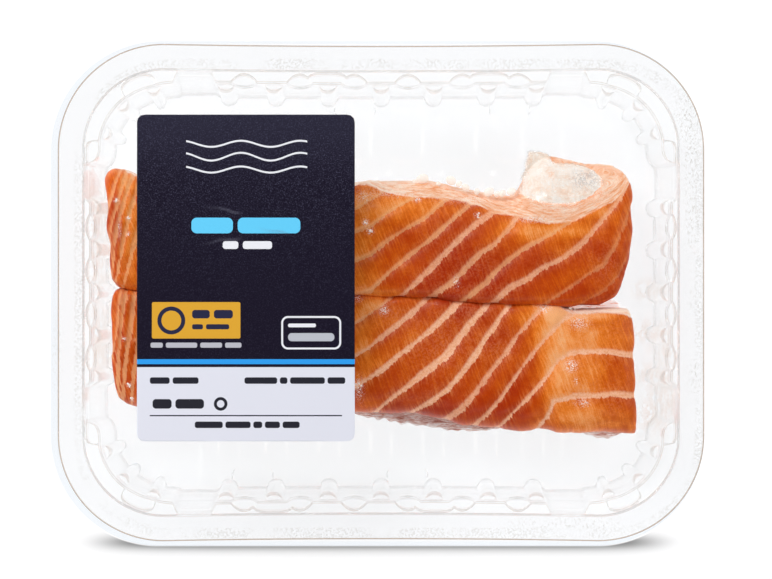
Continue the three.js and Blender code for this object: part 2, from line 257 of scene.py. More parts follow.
class Finish:
    def __init__(self, name):
        self.material = bpy.data.materials.new(name)
        self.material.use_nodes = True
        self.tree = self.material.node_tree
        self.tree.nodes.clear()
        coordinates = self.node("ShaderNodeTexCoord", output=3)  # Object
        self.spot = self.node("ShaderNodeVectorMath", {"operation": "SCALE"}, {0: coordinates, 1: 1 / mm})
        self.x, self.y, self.z = (self.node("ShaderNodeSeparateXYZ", None, [self.spot], k) for k in range(3))

    def node(self, kind, settings=None, values=(), output=0):
        return addNode(self.tree, kind, settings, values, output)

    def attribute(self, name):
        return self.node("ShaderNodeAttribute", {"attribute_name": name}, output=2)

    def point(self, x, y, z=0.0):
        return self.node("ShaderNodeCombineXYZ", None, [x, y, z])

    def noise(self, point, scale, detail=3.0, roughness=0.5):
        values = {"Vector": point, "Scale": scale, "Detail": detail, "Roughness": roughness}
        return self.node("ShaderNodeTexNoise", None, values)

    def mix(self, share, a, b):
        return self.node("ShaderNodeMix", {"data_type": "RGBA"}, {"Factor": share, "A": a, "B": b})

    def mixShader(self, share, a, b):
        return self.node("ShaderNodeMixShader", None, [share, a, b])

    def ramp(self, share, stops):
        return self.node("ShaderNodeValToRGB", {"stops": stops}, [share])

    def bump(self, height, distance, strength=1.0):
        values = {"Strength": strength, "Distance": distance * mm, "Height": height}
        return self.node("ShaderNodeBump", None, values)

    def principled(self, **values):
        named = {key.replace("_", " "): value for key, value in values.items()}
        return self.node("ShaderNodeBsdfPrincipled", None, named)

    def seeThrough(self, tint=(1.0, 1.0, 1.0)):
        return self.node("ShaderNodeBsdfTransparent", None, [tint])

    def pastStraight(self, x, y, half, radius):
        # for a rectangle with round corners: how far a point is past the straight part of its sides, in x
        # and in y, and in all
        overX, overY = ((abs(v) - (side - radius)).most(0.0) for v, side in zip((x, y), half))
        return overX, overY, (overX * overX + overY * overY) ** 0.5

    def box(self, x, y, low, high, soft, radius=0.0):
        # 1 inside such a rectangle
        middle, half = [[(b + sign * a) / 2 for a, b in zip(low, high)] for sign in (1, -1)]
        away = self.pastStraight(x - middle[0], y - middle[1], half, radius)[2]
        return away.between(radius + soft, max(radius - soft, 0.0))

    def done(self, shader, forLight=None):
        # forLight is what the light on its way in meets, where that differs from what is seen
        if forLight is not None:
            shader = self.mixShader(self.node("ShaderNodeLightPath", output=1), shader, forLight)
        output = self.tree.nodes.new("ShaderNodeOutputMaterial")
        self.tree.links.new(shader.socket, output.inputs["Surface"])
        return self.material


# Camera, light and floor
light = {
    "key": {"place": (-420, 620, 760), "size": (620, 420), "power": 7.0},
    "side": {"place": (760, 60, 520), "size": (420, 520), "power": 2.0},
    "front": {"place": (60, -720, 520), "size": (620, 320), "power": 1.2},
    "left": {"place": (-720, -160, 420), "size": (360, 420), "power": 1.4},
    "sky": [(0.0, 0.55), (0.55, 0.44), (0.92, 0.08)],  # brightness, from the horizon to the zenith
}
ground = {
    "half": 2500.0,
    "level": -0.05,
    "colour": (0.2, 0.2, 0.205),
    "glow": 0.865,
    "mottle": (0.02, 0.01),  # scale and depth
}
# a shadow painted on the floor's colour and glow, pooled under the near edge, from where the film ends as
# seen from above
pool = {
    "middlePx": (380, 542),
    "halfLength": 84.0,
    "layers": [(2.2, 0.74), (4.0, 0.24)],  # reach and depth
    "endPower": 6,
    "filmHalf": (96.0, 74.2),
    "radius": 32.4,
    "soft": 0.3,
}


def setView():
    camera = bpy.data.objects.new("camera", bpy.data.cameras.new("camera"))
    camera.location = Vector((*view["middle"], view["plane"] + view["distance"])) * mm
    camera.data.sensor_width = view["sensor"]
    camera.data.lens = view["sensor"] * view["distance"] * view["pxPerMm"] / view["widthPx"]
    bpy.context.scene.collection.objects.link(camera)
    bpy.context.scene.camera = camera
    bpy.context.scene.view_settings.view_transform = "Standard"


def setLight():
    for name in ("key", "side", "front", "left"):
        facts = light[name]
        lamp = bpy.data.lights.new(name + "Light", "AREA")
        lamp.shape = "RECTANGLE"
        lamp.size, lamp.size_y = (side * mm for side in facts["size"])
        lamp.energy = facts["power"]
        holder = bpy.data.objects.new(name + "Light", lamp)
        holder.location = Vector(facts["place"]) * mm
        holder.rotation_euler = (-holder.location).to_track_quat("-Z", "Y").to_euler()
        bpy.context.scene.collection.objects.link(holder)
    world = bpy.data.worlds.new("studio")
    world.use_nodes = True
    tree = world.node_tree
    tree.nodes.clear()
    up = addNode(tree, "ShaderNodeSeparateXYZ", None, [addNode(tree, "ShaderNodeTexCoord")], 2)
    stops = [(height, (brightness,) * 3) for height, brightness in light["sky"]]
    colour = addNode(tree, "ShaderNodeValToRGB", {"stops": stops}, [up])
    sky = addNode(tree, "ShaderNodeBackground", None, [colour])
    output = tree.nodes.new("ShaderNodeOutputWorld")
    tree.links.new(sky.socket, output.inputs["Surface"])
    bpy.context.scene.world = world


def setFloor():
    half, level = ground["half"], ground["level"]
    corners = [(-half, -half, level), (half, -half, level), (half, half, level), (-half, half, level)]
    paper = Finish("floorPaper")
    # painted shadow: it darkens the floor's colour and its glow
    x, y = onPack(*pool["middlePx"], 0)
    along = ((paper.x - x) / pool["halfLength"]) ** 2
    shade = 0
    for reach, depth in pool["layers"]:
        across = ((paper.y - y) / reach) ** 2
        shade = ((along ** pool["endPower"] + across) * -1).maths("EXPONENT") * depth + shade
    spread = 1 + view["plane"] / view["distance"]
    sides = list(zip(view["middle"], pool["filmHalf"]))
    low, high = [[middle + (sign * side - middle) * spread for middle, side in sides] for sign in (-1, 1)]
    shade = shade * (1 - paper.box(paper.x, paper.y, low, high, pool["soft"], pool["radius"]))
    scale, depth = ground["mottle"]
    lit = (paper.noise(paper.spot, scale) * depth + (1 - depth)) * (1 - shade)
    surface = paper.principled(
        Base_Color=paper.mix(lit, (0.0, 0.0, 0.0), ground["colour"]),
        Roughness=0.9,
        Emission_Color=paper.node("ShaderNodeCombineColor", None, [lit, lit, lit]),
        Emission_Strength=ground["glow"],
    )
    mesh = makeMesh("floor", corners, [(0, 1, 2, 3)])
    mesh.materials.append(paper.done(surface))
    floor = bpy.data.objects.new("floor", mesh)
    bpy.context.scene.collection.objects.link(floor)


setView()
setLight()
setFloor()
print("stage: view, light and floor")


# Outlines with round corners, as rings of points that go inwards
def roundedRing(halfLength, halfWidth, radius, inset, perQuarter):
    # one ring, from the middle of the right side and anticlockwise
    r = max(radius - inset, 0)
    straightX, straightY = halfLength - radius, halfWidth - radius
    arcEnd = straightY + radius * np.pi / 2
    run = np.linspace(0, straightX + arcEnd, perQuarter + 1)[:-1]
    angle = np.clip((run - straightY) / radius, 0, np.pi / 2)
    x = np.where(run > arcEnd, straightX + arcEnd - run, straightX + r * np.cos(angle))
    y = np.minimum(run, straightY) + r * np.sin(angle)
    quarter = np.stack([x, y], -1)
    upper = np.concatenate([quarter, [[0, halfWidth - inset]], quarter[:0:-1] * (-1, 1)])
    return np.concatenate([upper, -upper])


def ringSheet(halfLength, halfWidth, radius, insets, shares, perQuarter):
    # rings in from the edge, and then on towards the line along the sheet's middle
    rings = [roundedRing(halfLength, halfWidth, radius, inset, perQuarter) for inset in insets]
    last = rings[-1]
    reach = np.array([halfLength - halfWidth, halfWidth - halfLength]).clip(0)
    spine = np.clip(last, -reach, reach)
    return np.array(rings + [blendOf(last, spine, share) for share in shares])


def closedSheet(name, rings, top, under, marks=None):
    # a sheet with these heights over its rings, closed round its edge
    upper = np.concatenate([rings, top[..., None]], -1)
    lower = np.concatenate([rings, under[..., None]], -1)
    points = np.concatenate([lower[::-1], upper])
    facts = {key: spots(points[..., 0], points[..., 1], value) for key, value in (marks or {}).items()}
    return makeMesh(name, points, gridFaces(len(points), rings.shape[1], True), facts)


# The tray
tray = {
    "length": 190.0,
    "width": 146.2,
    "height": 38.0,
    "wall": 0.6,
    "cornerRadius": 31.2,
    "flangeWidth": 7.8,
    "bow": 0.6,
    "ledgeDrop": 1.4,
    "ledgeStep": 0.5,  # the steep step from the flange down to the flat ledge
    "ledgeShort": 2.0,
    "ledgeLong": 3.4,
    "ledgeCorner": 4.4,
    "ledgeBlend": 6.0,
    "shoulder": 8.0,
    "shoulderShare": 0.22,
    "draft": 2.4,
    "footHeight": 2.6,
    "footInset": 1.0,
    "panelInset": 9.0,
    "panelSlope": 7.0,
    "panelRise": 1.0,
    "middle": (1.0, 0.3),
    "stains": [  # juice on the wall
        (98, 215, 14, 34, 0.5), (94, 270, 12, 22, 0.4), (96, 320, 14, 20, 0.35), (96, 355, 14, 22, 0.45),
        (88, 205, 6, 12, 0.4), (652, 290, 12, 9, 0.5), (652, 332, 13, 10, 0.5), (668, 352, 8, 16, 0.55),
        (654, 376, 12, 9, 0.5), (668, 400, 12, 18, 0.5), (654, 421, 9, 14, 0.5),
    ],
    "roundings": (0.16, 0.14, 0.14, 0.12, 0.14, 0.5, 0.3, 1.2, 0.6),
    "roundSteps": 3,
    # the rounded edge: inwards, down, and how much painted shade darkens it
    "rim": [(0, 0.3, 0.5), (0.04, 0.14, 0.5), (0.12, 0.04, 0.5), (0.28, 0, 0.4), (0.45, 0, 0)],
    "support": 0.15,  # a row this far beyond each rounding keeps the flat parts flat
    "widestGap": 1.5,  # between the wall's columns
    "narrowestGap": 0.22,
    "stainEnd": (34.0, 36.0),  # no stain shows above this height
    "floorInsets": (8.6, 9.0, 10.5, 12, 13.5, 15, 16.5),
}
rib = {"halfWidth": 2.6, "topDepth": 1.9, "footDepth": 2.5, "step": 0.3}
scoop = {"halfWidth": 3.9, "longReach": 2.4, "shortReach": 1.2, "shelf": 1.5, "depth": 1.1}
lug = {"footHalf": 6.6, "crestHalf": 4.7, "reachGap": 0.3, "shoulderShare": 0.8, "footShare": 0.2}
windowLug = {"slope": 0.9, "power": 3.2, "reachGap": 0.6, "depth": 1.3}
pad = {
    "lines": (0, 15.8, 31.8, 46.0, 58.0),  # the grooves between the pads
    "innerGroove": 1.5,
    "outerGroove": 3.2,
    "inner": (-4.8, 36.6),
    "outer": (39.7, 60.5),
    "beyond": 99,
    "round": 2.4,
    "soft": 1.1,
    "rise": 0.75,
    "tabMiddle": 15.5,  # two more pads stand against each wall, this far along, and as far away from there
    "tabAway": 23.4,
    "tabHalf": 6.1,
    "tabReach": (53.1, 63.0),
    "tabSoft": 0.5,
    "tabRound": 2.0,
}
trayLook = {
    "sheer": 0.7,  # how much of the sheet is only a veil
    "veil": (0.996, 0.997, 0.999),
    "juice": (0.82, 0.69, 0.6),
    # fold is painted shade, for the dark lines along the creases and the rim's edge
    "fold": (0.48, 0.34, 0.22),
    "floorTop": 2.5,
}

innerHalfLength = tray["length"] / 2 - tray["flangeWidth"]
innerHalfWidth = tray["width"] / 2 - tray["flangeWidth"]
innerRadius = tray["cornerRadius"] - tray["flangeWidth"]
shortHalf = innerHalfWidth - innerRadius
longHalf = innerHalfLength - innerRadius
cornerEnd = shortHalf + innerRadius * np.pi / 2
quarterRun = cornerEnd + longHalf


def onCorner(degrees):
    return shortHalf + np.radians(degrees) * innerRadius


def onLong(x):
    return quarterRun - x


# where the wall's features stand, along a quarter of it from the middle of a short side
ribRuns = [0, 12.7, 25.4] + [onCorner(a) for a in (16.5, 47, 79)] + [onLong(x) for x in (46, 31.8, 15.8, 0)]
scoopRuns = [6.4, 19.3] + [onLong(x) for x in (40.3, 23.9, 7.9)]
lugRuns = [32.7, onLong(55)]
endWindow, cornerWindow = (41, 3.2), (onCorner(68), 5)
longWindows = [(onLong(31.8), 5), (onLong(15.8), 5)]  # in the even and in the odd quarters


def nearestOf(run, centres):
    return np.min([np.abs(run - at) for at in centres], axis=0)


def ledgeAt(run):
    blend = tray["ledgeBlend"]
    corner, short, long = tray["ledgeCorner"], tray["ledgeShort"], tray["ledgeLong"]
    wider = (corner - short) * smoothStep(run, shortHalf - blend, shortHalf)
    narrower = (corner - long) * smoothStep(run, cornerEnd - blend, cornerEnd + blend)
    return short + wider - narrower


def windowShare(run, at, half):
    # the outline of a window, with round upper corners
    away = np.minimum(np.abs(run - at) / (half + windowLug["slope"]), 1)
    return (1 - away ** windowLug["power"]) ** (1 / windowLug["power"])


def wallProfile(run, odd):
    # from the rim to the floor, for each column: distance out from the flange's inner line, height, and
    # how much painted shade darkens a crease there
    ledge = ledgeAt(run)
    ledgeHeight = tray["height"] - tray["ledgeDrop"]
    lens = np.maximum(0, 1 - (nearestOf(run, scoopRuns) / scoop["halfWidth"]) ** 2)
    reach = np.where(run < shortHalf, scoop["shortReach"], scoop["longReach"]) * lens
    shelf = scoop["shelf"] * lens
    onLug = 1 - smoothStep(nearestOf(run, lugRuns), lug["crestHalf"], lug["footHalf"])
    pocket = (ledge - lug["reachGap"]) * onLug
    opened = [windowShare(run, at, half) for at, half in (endWindow, cornerWindow)]
    opened += [(odd == k) * windowShare(run, at, half) for k, (at, half) in enumerate(longWindows)]
    opened = np.max(opened, axis=0)
    hollow = np.maximum(lens, opened)
    depth = np.maximum(scoop["depth"] * np.sqrt(lens), windowLug["depth"] * opened)
    recess = (ledge - windowLug["reachGap"]) * opened
    ridge = np.sqrt(np.maximum(0, 1 - (nearestOf(run, ribRuns) / rib["halfWidth"]) ** 2))
    shoulder = lug["shoulderShare"] * pocket - ledge - tray["draft"] * tray["shoulderShare"]
    shoulderHeight = ledgeHeight - tray["shoulder"]
    ribTop = shoulder - rib["topDepth"] * ridge
    foot = lug["footShare"] * pocket - ledge - tray["draft"] - rib["footDepth"] * ridge
    step = np.minimum(tray["ledgeStep"], 0.4 * ledge)
    cut = np.maximum(np.maximum(reach, recess), pocket) - ledge
    rows = [
        (tray["flangeWidth"], tray["height"], 0),
        (0, tray["height"], 0.2),
        (np.maximum(-step, cut), ledgeHeight + 0.25, 0),
        (cut, ledgeHeight, 0.75),
        (cut - 0.03 - 0.25 * hollow, ledgeHeight - 0.12 - depth, 0.3 * hollow),
        (pocket - ledge - 0.06 - shelf, ledgeHeight - 0.25 - 1.2 * depth, 0.6 * hollow),
        (shoulder - 0.5 * shelf, shoulderHeight + 2.6, 0),
        (shoulder - 0.4 * shelf, shoulderHeight + rib["step"], 0),
        (ribTop, shoulderHeight, 0.12 * smoothStep(ridge, 0, 0.3)),
        (foot, tray["wall"] + tray["footHeight"], 0),
        (foot - tray["footInset"], tray["wall"], 0),
    ]
    return [np.stack(np.broadcast_arrays(*row, run)[:3], -1) for row in rows]


def roundedProfile(rows, roundings, steps):
    # each corner of the profile becomes a short curve between two support rows
    result = [rows[0]]
    for before, corner, after, rounding in zip(rows, rows[1:], rows[2:], roundings):
        ends, supports = [], []
        for other in (before, after):
            step = (other - corner) * (1, 1, 0)
            length = np.maximum(np.linalg.norm(step, axis=-1, keepdims=True), 1e-6)
            ends.append(corner + step * np.minimum(rounding / length, 0.4))
            supports.append(corner + step * np.minimum((rounding + tray["support"]) / length, 0.46))
        result.append(supports[0] * (1, 1, 0))
        for u in np.linspace(0, 1, steps):
            point = ends[0] * (1 - u) ** 2 + 2 * corner * u * (1 - u) + ends[1] * u**2
            result.append(point * (1, 1, 4 * u * (1 - u)))
        result.append(supports[1] * (1, 1, 0))
    return result + [rows[-1]]


def trayPlace(run, signX, signY, out):
    # the point at a run of a quarter and a distance out from the flange's inner line
    angle = np.clip((run - shortHalf) / innerRadius, 0, np.pi / 2)
    x = longHalf + (innerRadius + out) * np.cos(angle)
    y = shortHalf + (innerRadius + out) * np.sin(angle)
    x = np.where(run < shortHalf, innerHalfLength + out, x)
    y = np.where(run < shortHalf, run, y)
    longX = quarterRun - run
    longY = innerHalfWidth + out - tray["bow"] * (1 - (longX / longHalf) ** 2)
    x = np.where(run > cornerEnd, longX, x)
    y = np.where(run > cornerEnd, longY, y)
    return np.stack([signX * x, signY * y], -1)


def columnRuns():
    wanted = [0, quarterRun]
    features = [(at, (0.8, 1.6, 2.2, 2.5, 2.6, 3.0)) for at in ribRuns]
    features += [(at, (0, 1.3, 2.6, 3.4, 3.9)) for at in scoopRuns]
    features += [(at, (3.4, 4.7, 5.2, 5.7, 6.2, 6.6)) for at in lugRuns]
    for at, half in [endWindow, cornerWindow, *longWindows]:
        features.append((at, (0.6 * half, half, half + 0.25, half + 0.5, half + 0.75)))
    for at, offsets in features:
        wanted += [at + sign * offset for offset in offsets for sign in (-1, 1)]
    wanted = sorted(run for run in wanted if 0 <= run <= quarterRun)
    kept = [0.0]
    for run in wanted[1:]:
        gap = run - kept[-1]
        extra = int(gap // tray["widestGap"])
        kept += [kept[-1] + gap * k / (extra + 1) for k in range(1, extra + 1)]
        if run - kept[-1] > tray["narrowestGap"]:
            kept.append(run)
    kept[-1] = quarterRun
    return np.array(kept)


def floorRise(inset):
    # how high the raised panel stands over the floor's edge
    return tray["panelRise"] * smoothStep(inset, tray["panelInset"], tray["panelInset"] + tray["panelSlope"])


def trayMesh():
    runs = columnRuns()
    parts = []
    for quarter in range(4):
        ordered = runs[::-1] if quarter % 2 else runs
        signX = 1 if quarter in (0, 3) else -1
        signY = 1 if quarter < 2 else -1
        part = ordered[:-1]
        parts.append([part, signX + 0 * part, signY + 0 * part, quarter % 2 + 0 * part])
    run, signX, signY, odd = np.concatenate(parts, axis=1)
    middle = np.array(tray["middle"])
    profile = roundedProfile(wallProfile(run, odd), tray["roundings"], tray["roundSteps"])
    rim = [profile[0] - (*offset, -paintedCreaseShade) for *offset, paintedCreaseShade in tray["rim"]]
    profile = rim + profile[1:]
    rows = []
    for isTop in (True, False):
        surface = []
        thick = 0 if isTop else tray["wall"]
        for row, place in enumerate(profile):
            out, height, paintedCreaseShade = place.T
            isRim = row < len(rim)
            plan = trayPlace(run, signX, signY, out + (0 if isRim else thick))
            if isRim and not isTop:
                height = 2 * tray["height"] - tray["wall"] - height
            surface.append(np.column_stack([plan + middle, height - (0 if isRim else thick), paintedCreaseShade]))
        foot = -profile[-1][:, 0]
        for inset in (*tray["floorInsets"], innerRadius - tray["wall"]):
            plan = trayPlace(run, signX, signY, -np.maximum(inset, foot + 0.04 * inset))
            height = tray["wall"] + floorRise(inset) - thick
            surface.append(np.column_stack([plan + middle, height + 0 * run, 0 * run]))
        spineX = innerHalfLength - innerHalfWidth
        spine = np.column_stack([np.clip(plan[:, 0], -spineX, spineX), 0 * run])
        for share in (0.3, 0.6, 0.85, 1):
            inside = blendOf(plan, spine, share)
            surface.append(np.column_stack([inside + middle, height + 0 * run, 0 * run]))
        rows.append(surface)
    points = np.array(rows[1][::-1] + rows[0])
    points, paintedCreaseShade = points[..., :3], points[..., 3]
    x, y, z = np.moveaxis(points, -1, 0)
    onWall = 1 - smoothStep(z, *tray["stainEnd"])
    facts = {"stain": spots(x, y, tray["stains"]) * onWall, "crease": paintedCreaseShade}
    return makeMesh("clearTray", points, gridFaces(len(points), len(run), True), facts, 0.0005)


def floorPads(clear):
    # 1 on the raised pads of the tray's floor
    x, y = clear.x - tray["middle"][0], clear.y - tray["middle"][1]
    foldedX, foldedY = abs(x), abs(y)
    lines, last = pad["lines"], pad["lines"][-1]
    columns = list(zip(lines, lines[1:]))
    reach = max(b - a for a, b in columns) / 2
    stops = [(0.0, (0.0,) * 3)]
    for a, b in columns:
        stops += [((a + b) / 2 / last, ((b - a) / 2 / reach,) * 3), (b / last, (0.0,) * 3)]
    toLine = clear.ramp(foldedX / last, stops) * reach  # how far the nearest groove is
    pads = 0
    for groove, near, far in ((pad["innerGroove"], *pad["inner"]), (pad["outerGroove"], *pad["outer"])):
        row = clear.box(toLine, foldedY, (groove, near), (pad["beyond"], far), pad["soft"], pad["round"])
        pads = row.most(pads)
    # the tabs on the two sides face each other
    turned = abs(x * foldedY / foldedY.most(0.1) * y / foldedY.most(0.1) - pad["tabMiddle"])
    near, far = [(pad["tabAway"] + sign * pad["tabHalf"], y) for sign, y in zip((-1, 1), pad["tabReach"])]
    return pads.most(clear.box(turned, foldedY, near, far, pad["tabSoft"], pad["tabRound"]))


def trayFinish():
    clear = Finish("trayPlastic")
    wave = clear.noise(clear.spot, 0.35, 2.0)
    relief = clear.bump(floorPads(clear) * pad["rise"] + wave * 0.03, 1.0)
    wall, floor = (
        clear.principled(
            Base_Color=(0.995, 0.998, 1.0),
            Roughness=0.03,
            IOR=1.5,
            Transmission_Weight=1.0,
            **relieved,
        )
        for relieved in ({}, {"Normal": relief})
    )
    glass = clear.mixShader(clear.z.maths("LESS_THAN", trayLook["floorTop"]), wall, floor)
    veil, juice, fold = (clear.seeThrough(trayLook[key]) for key in ("veil", "juice", "fold"))
    sheer = clear.mixShader(trayLook["sheer"], glass, veil)
    # painted shade: dark lines along the creases and the rim's edge
    creased = clear.mixShader(clear.attribute("crease"), sheer, fold)
    smudge = clear.noise(clear.point(clear.x, clear.y * 0.6, clear.z * 0.5), 0.55, 3.0, 0.65)
    scribble = abs(smudge - 0.5).between(0.03, 0.0).most(smudge.between(0.45, 0.65) * 0.6)
    stain = clear.attribute("stain")
    stained = clear.mixShader(stain * scribble, creased, juice)
    # nothing is worked out for the juice where there is none
    stained = clear.mixShader(stain.maths("GREATER_THAN", 0.02), creased, stained)
    return clear.done(stained, veil)


addPiece("clear_tray", trayMesh(), trayFinish(), ["tray"])


# The film lid and the label on it
film = {
    "length": 192.0,
    "width": 148.4,
    "cornerRadius": 32.4,
    "level": 38.04,
    "thickness": 0.06,
    "wave": 0.12,
    "insets": [0, 0.15, 0.5, 1.2, 2.5, 4, 6, 8, 10, 13, 17, 22, 27, 31.8],
    "sealed": (7, 20),  # the film lies still up to here, and waves freely from there
    "plainHalf": (79.0, 57.5),
    "tint": (0.974, 0.979, 0.982),
    "flangeTint": (0.963, 0.967, 0.971),
    "overhangTint": (0.925, 0.943, 0.96),
    "weldTint": (0.82, 0.815, 0.8),
    "edgeSoft": 0.06,
    "worn": [  # scratches on the seal
        (684, 110, 10, 26, 1.0), (689, 155, 8, 40, 0.9), (690, 225, 6, 30, 0.9), (692, 375, 5, 16, 0.9),
        (690, 300, 6, 20, 0.4), (575, 521, 40, 5, 0.8), (520, 521, 12, 4, 0.6), (60, 360, 5, 40, 0.3),
    ],
}
seal = {
    "middle": (3.57, -1.44),
    "half": (91.2, 68.9),
    "radius": 27.0,
    "width": 1.9,
    "grain": 1.7,
    "share": 0.4,
}
label = {
    "width": 64.0,
    "height": 96.0,
    "cornerRadius": 2.2,
    "middle": (-38.7, 4.6),
    "level": 38.26,
    "thickness": 0.12,
    "wrinkle": 0.05,
    "shadowSheer": 0.6,
    # painted highlights, where the film wrinkles over the label: from u, to u, v, slope
    "paintedGleams": [(18.0, 32.0, 26.6, 0.18), (17.0, 32.0, 38.2, -0.14), (34.0, 46.0, 33.0, 0.2)],
    "navy": (0.0062, 0.0036, 0.0145),
    "pale": (0.76, 0.77, 0.86),
    "blue": (0.03, 0.34, 0.86),
    "white": (0.84, 0.85, 0.9),
    "yellow": (0.73, 0.38, 0.034),
    "sky": (0.13, 0.62, 0.95),
    "darkInk": (0.02, 0.022, 0.06),
    "ink": (0.02, 0.02, 0.03),
    "greyWords": (0.5, 0.5, 0.56),
    "greyBar": (0.5, 0.52, 0.58),
    "paintedGleam": (0.16, 0.16, 0.22),
    "speck": (0.09, 0.09, 0.15),
    "paintedSheen": (0.03, 0.029, 0.055),
    "fieldTop": 74.2,
    "sharp": 0.07,
}


def filmMesh():
    insets, shares = film["insets"], np.linspace(0, 1, 15)[1:]
    rings = ringSheet(film["length"] / 2, film["width"] / 2, film["cornerRadius"], insets, shares, 90)
    edge = np.array(insets + [32.0] * len(shares))[:, None]
    free = smoothStep(edge, *film["sealed"])
    x, y = rings[..., 0], rings[..., 1]
    wave = free * film["wave"] * (ripple(x, y, 46, 4) * 0.6 + ripple(x, y * 0.4, 22, 5) * 0.3)
    under = film["level"] + np.maximum(wave, -0.03)
    return closedSheet("lidFilm", rings, under + film["thickness"], under, {"worn": film["worn"]})


def filmFinish():
    clear = Finish("lidFilm")
    wave = clear.bump(clear.noise(clear.spot, 0.06, 2.0), 0.4, 0.5)
    x, y = clear.x - tray["middle"][0], clear.y - tray["middle"][1]
    inside = []
    for narrower, radius in ((0, tray["cornerRadius"]), (tray["flangeWidth"], innerRadius)):
        halves = tray["length"] / 2 - narrower, tray["width"] / 2 - narrower
        low, high = [[sign * half for half in halves] for sign in (-1, 1)]
        inside.append(clear.box(x, y, low, high, film["edgeSoft"], radius))
    onFlange, overFood = inside
    tints = ("overhangTint", "flangeTint", "tint", "weldTint")
    overhang, flange, plain, weld = (clear.seeThrough(film[key]) for key in tints)
    through = clear.mixShader(overFood, clear.mixShader(onFlange, overhang, flange), plain)
    shine = {"Color": (0.95, 0.96, 1.0), "Roughness": 0.06, "Normal": wave}
    mirror = clear.node("ShaderNodeBsdfGlossy", None, shine)
    gloss = clear.node("ShaderNodeLayerWeight", None, {"Normal": wave}, 1) ** 5 * 0.7 + 0.005
    sheet = clear.mixShader(gloss, through, mirror)
    x, y = clear.x - seal["middle"][0], clear.y - seal["middle"][1]
    overX, overY, fromMiddle = clear.pastStraight(x, y, seal["half"], seal["radius"])
    away = abs(fromMiddle - seal["radius"])
    band = away.between(seal["width"], seal["width"] * 0.6) * (overX + overY).between(0.0, 0.1)
    dots = clear.noise(clear.spot, seal["grain"], 2.0, 0.7).between(0.5, 0.55)
    patchy = clear.noise(clear.spot, 0.09, 3.0).between(0.3, 0.6)
    scratch = clear.noise(clear.point(clear.x * 1.6, clear.y * 0.9), 0.9, 5.0, 0.8).between(0.53, 0.58)
    marked = (band * dots * patchy * seal["share"]).most(clear.attribute("worn") * scratch)
    border = clear.mixShader(marked, sheet, weld)
    # over the food, and for the light on its way in, the film is plain
    farX, farY = (abs(v) / half for v, half in zip((clear.x, clear.y), film["plainHalf"]))
    overMiddle = farX.most(farY).maths("LESS_THAN", 1.0)
    surface = clear.mixShader(overMiddle, border, clear.mixShader(gloss, plain, mirror))
    return clear.done(surface, plain)


addPiece("film_lid", filmMesh(), filmFinish(), ["lid_film"])


def labelMesh():
    halfWidth, halfHeight = label["width"] / 2, label["height"] / 2
    insets = [0, 0.05, 0.4, 1.0, 1.6, 2.1]
    rings = ringSheet(halfWidth, halfHeight, label["cornerRadius"], insets, np.linspace(0, 1, 25)[1:], 64)
    x, y = rings[..., 0], rings[..., 1]
    crease = ripple(x + 0.6 * y, 0.5 * y - 0.3 * x, 26, 8) * 0.6 + ripple(x + 0.8 * y, 0.2 * x, 9, 9) * 0.25
    lower = smoothStep(-y, 12, 40)
    lift = label["wrinkle"] * (1 + 0.8 * lower) * crease
    rings = rings + np.array(label["middle"])
    under = label["level"] + np.maximum(0.4 * lift, 0)
    top = under + label["thickness"] + np.maximum(lift, -0.08)
    top[0] = under[0] + 0.5 * label["thickness"]
    return closedSheet("label", rings, top, under)


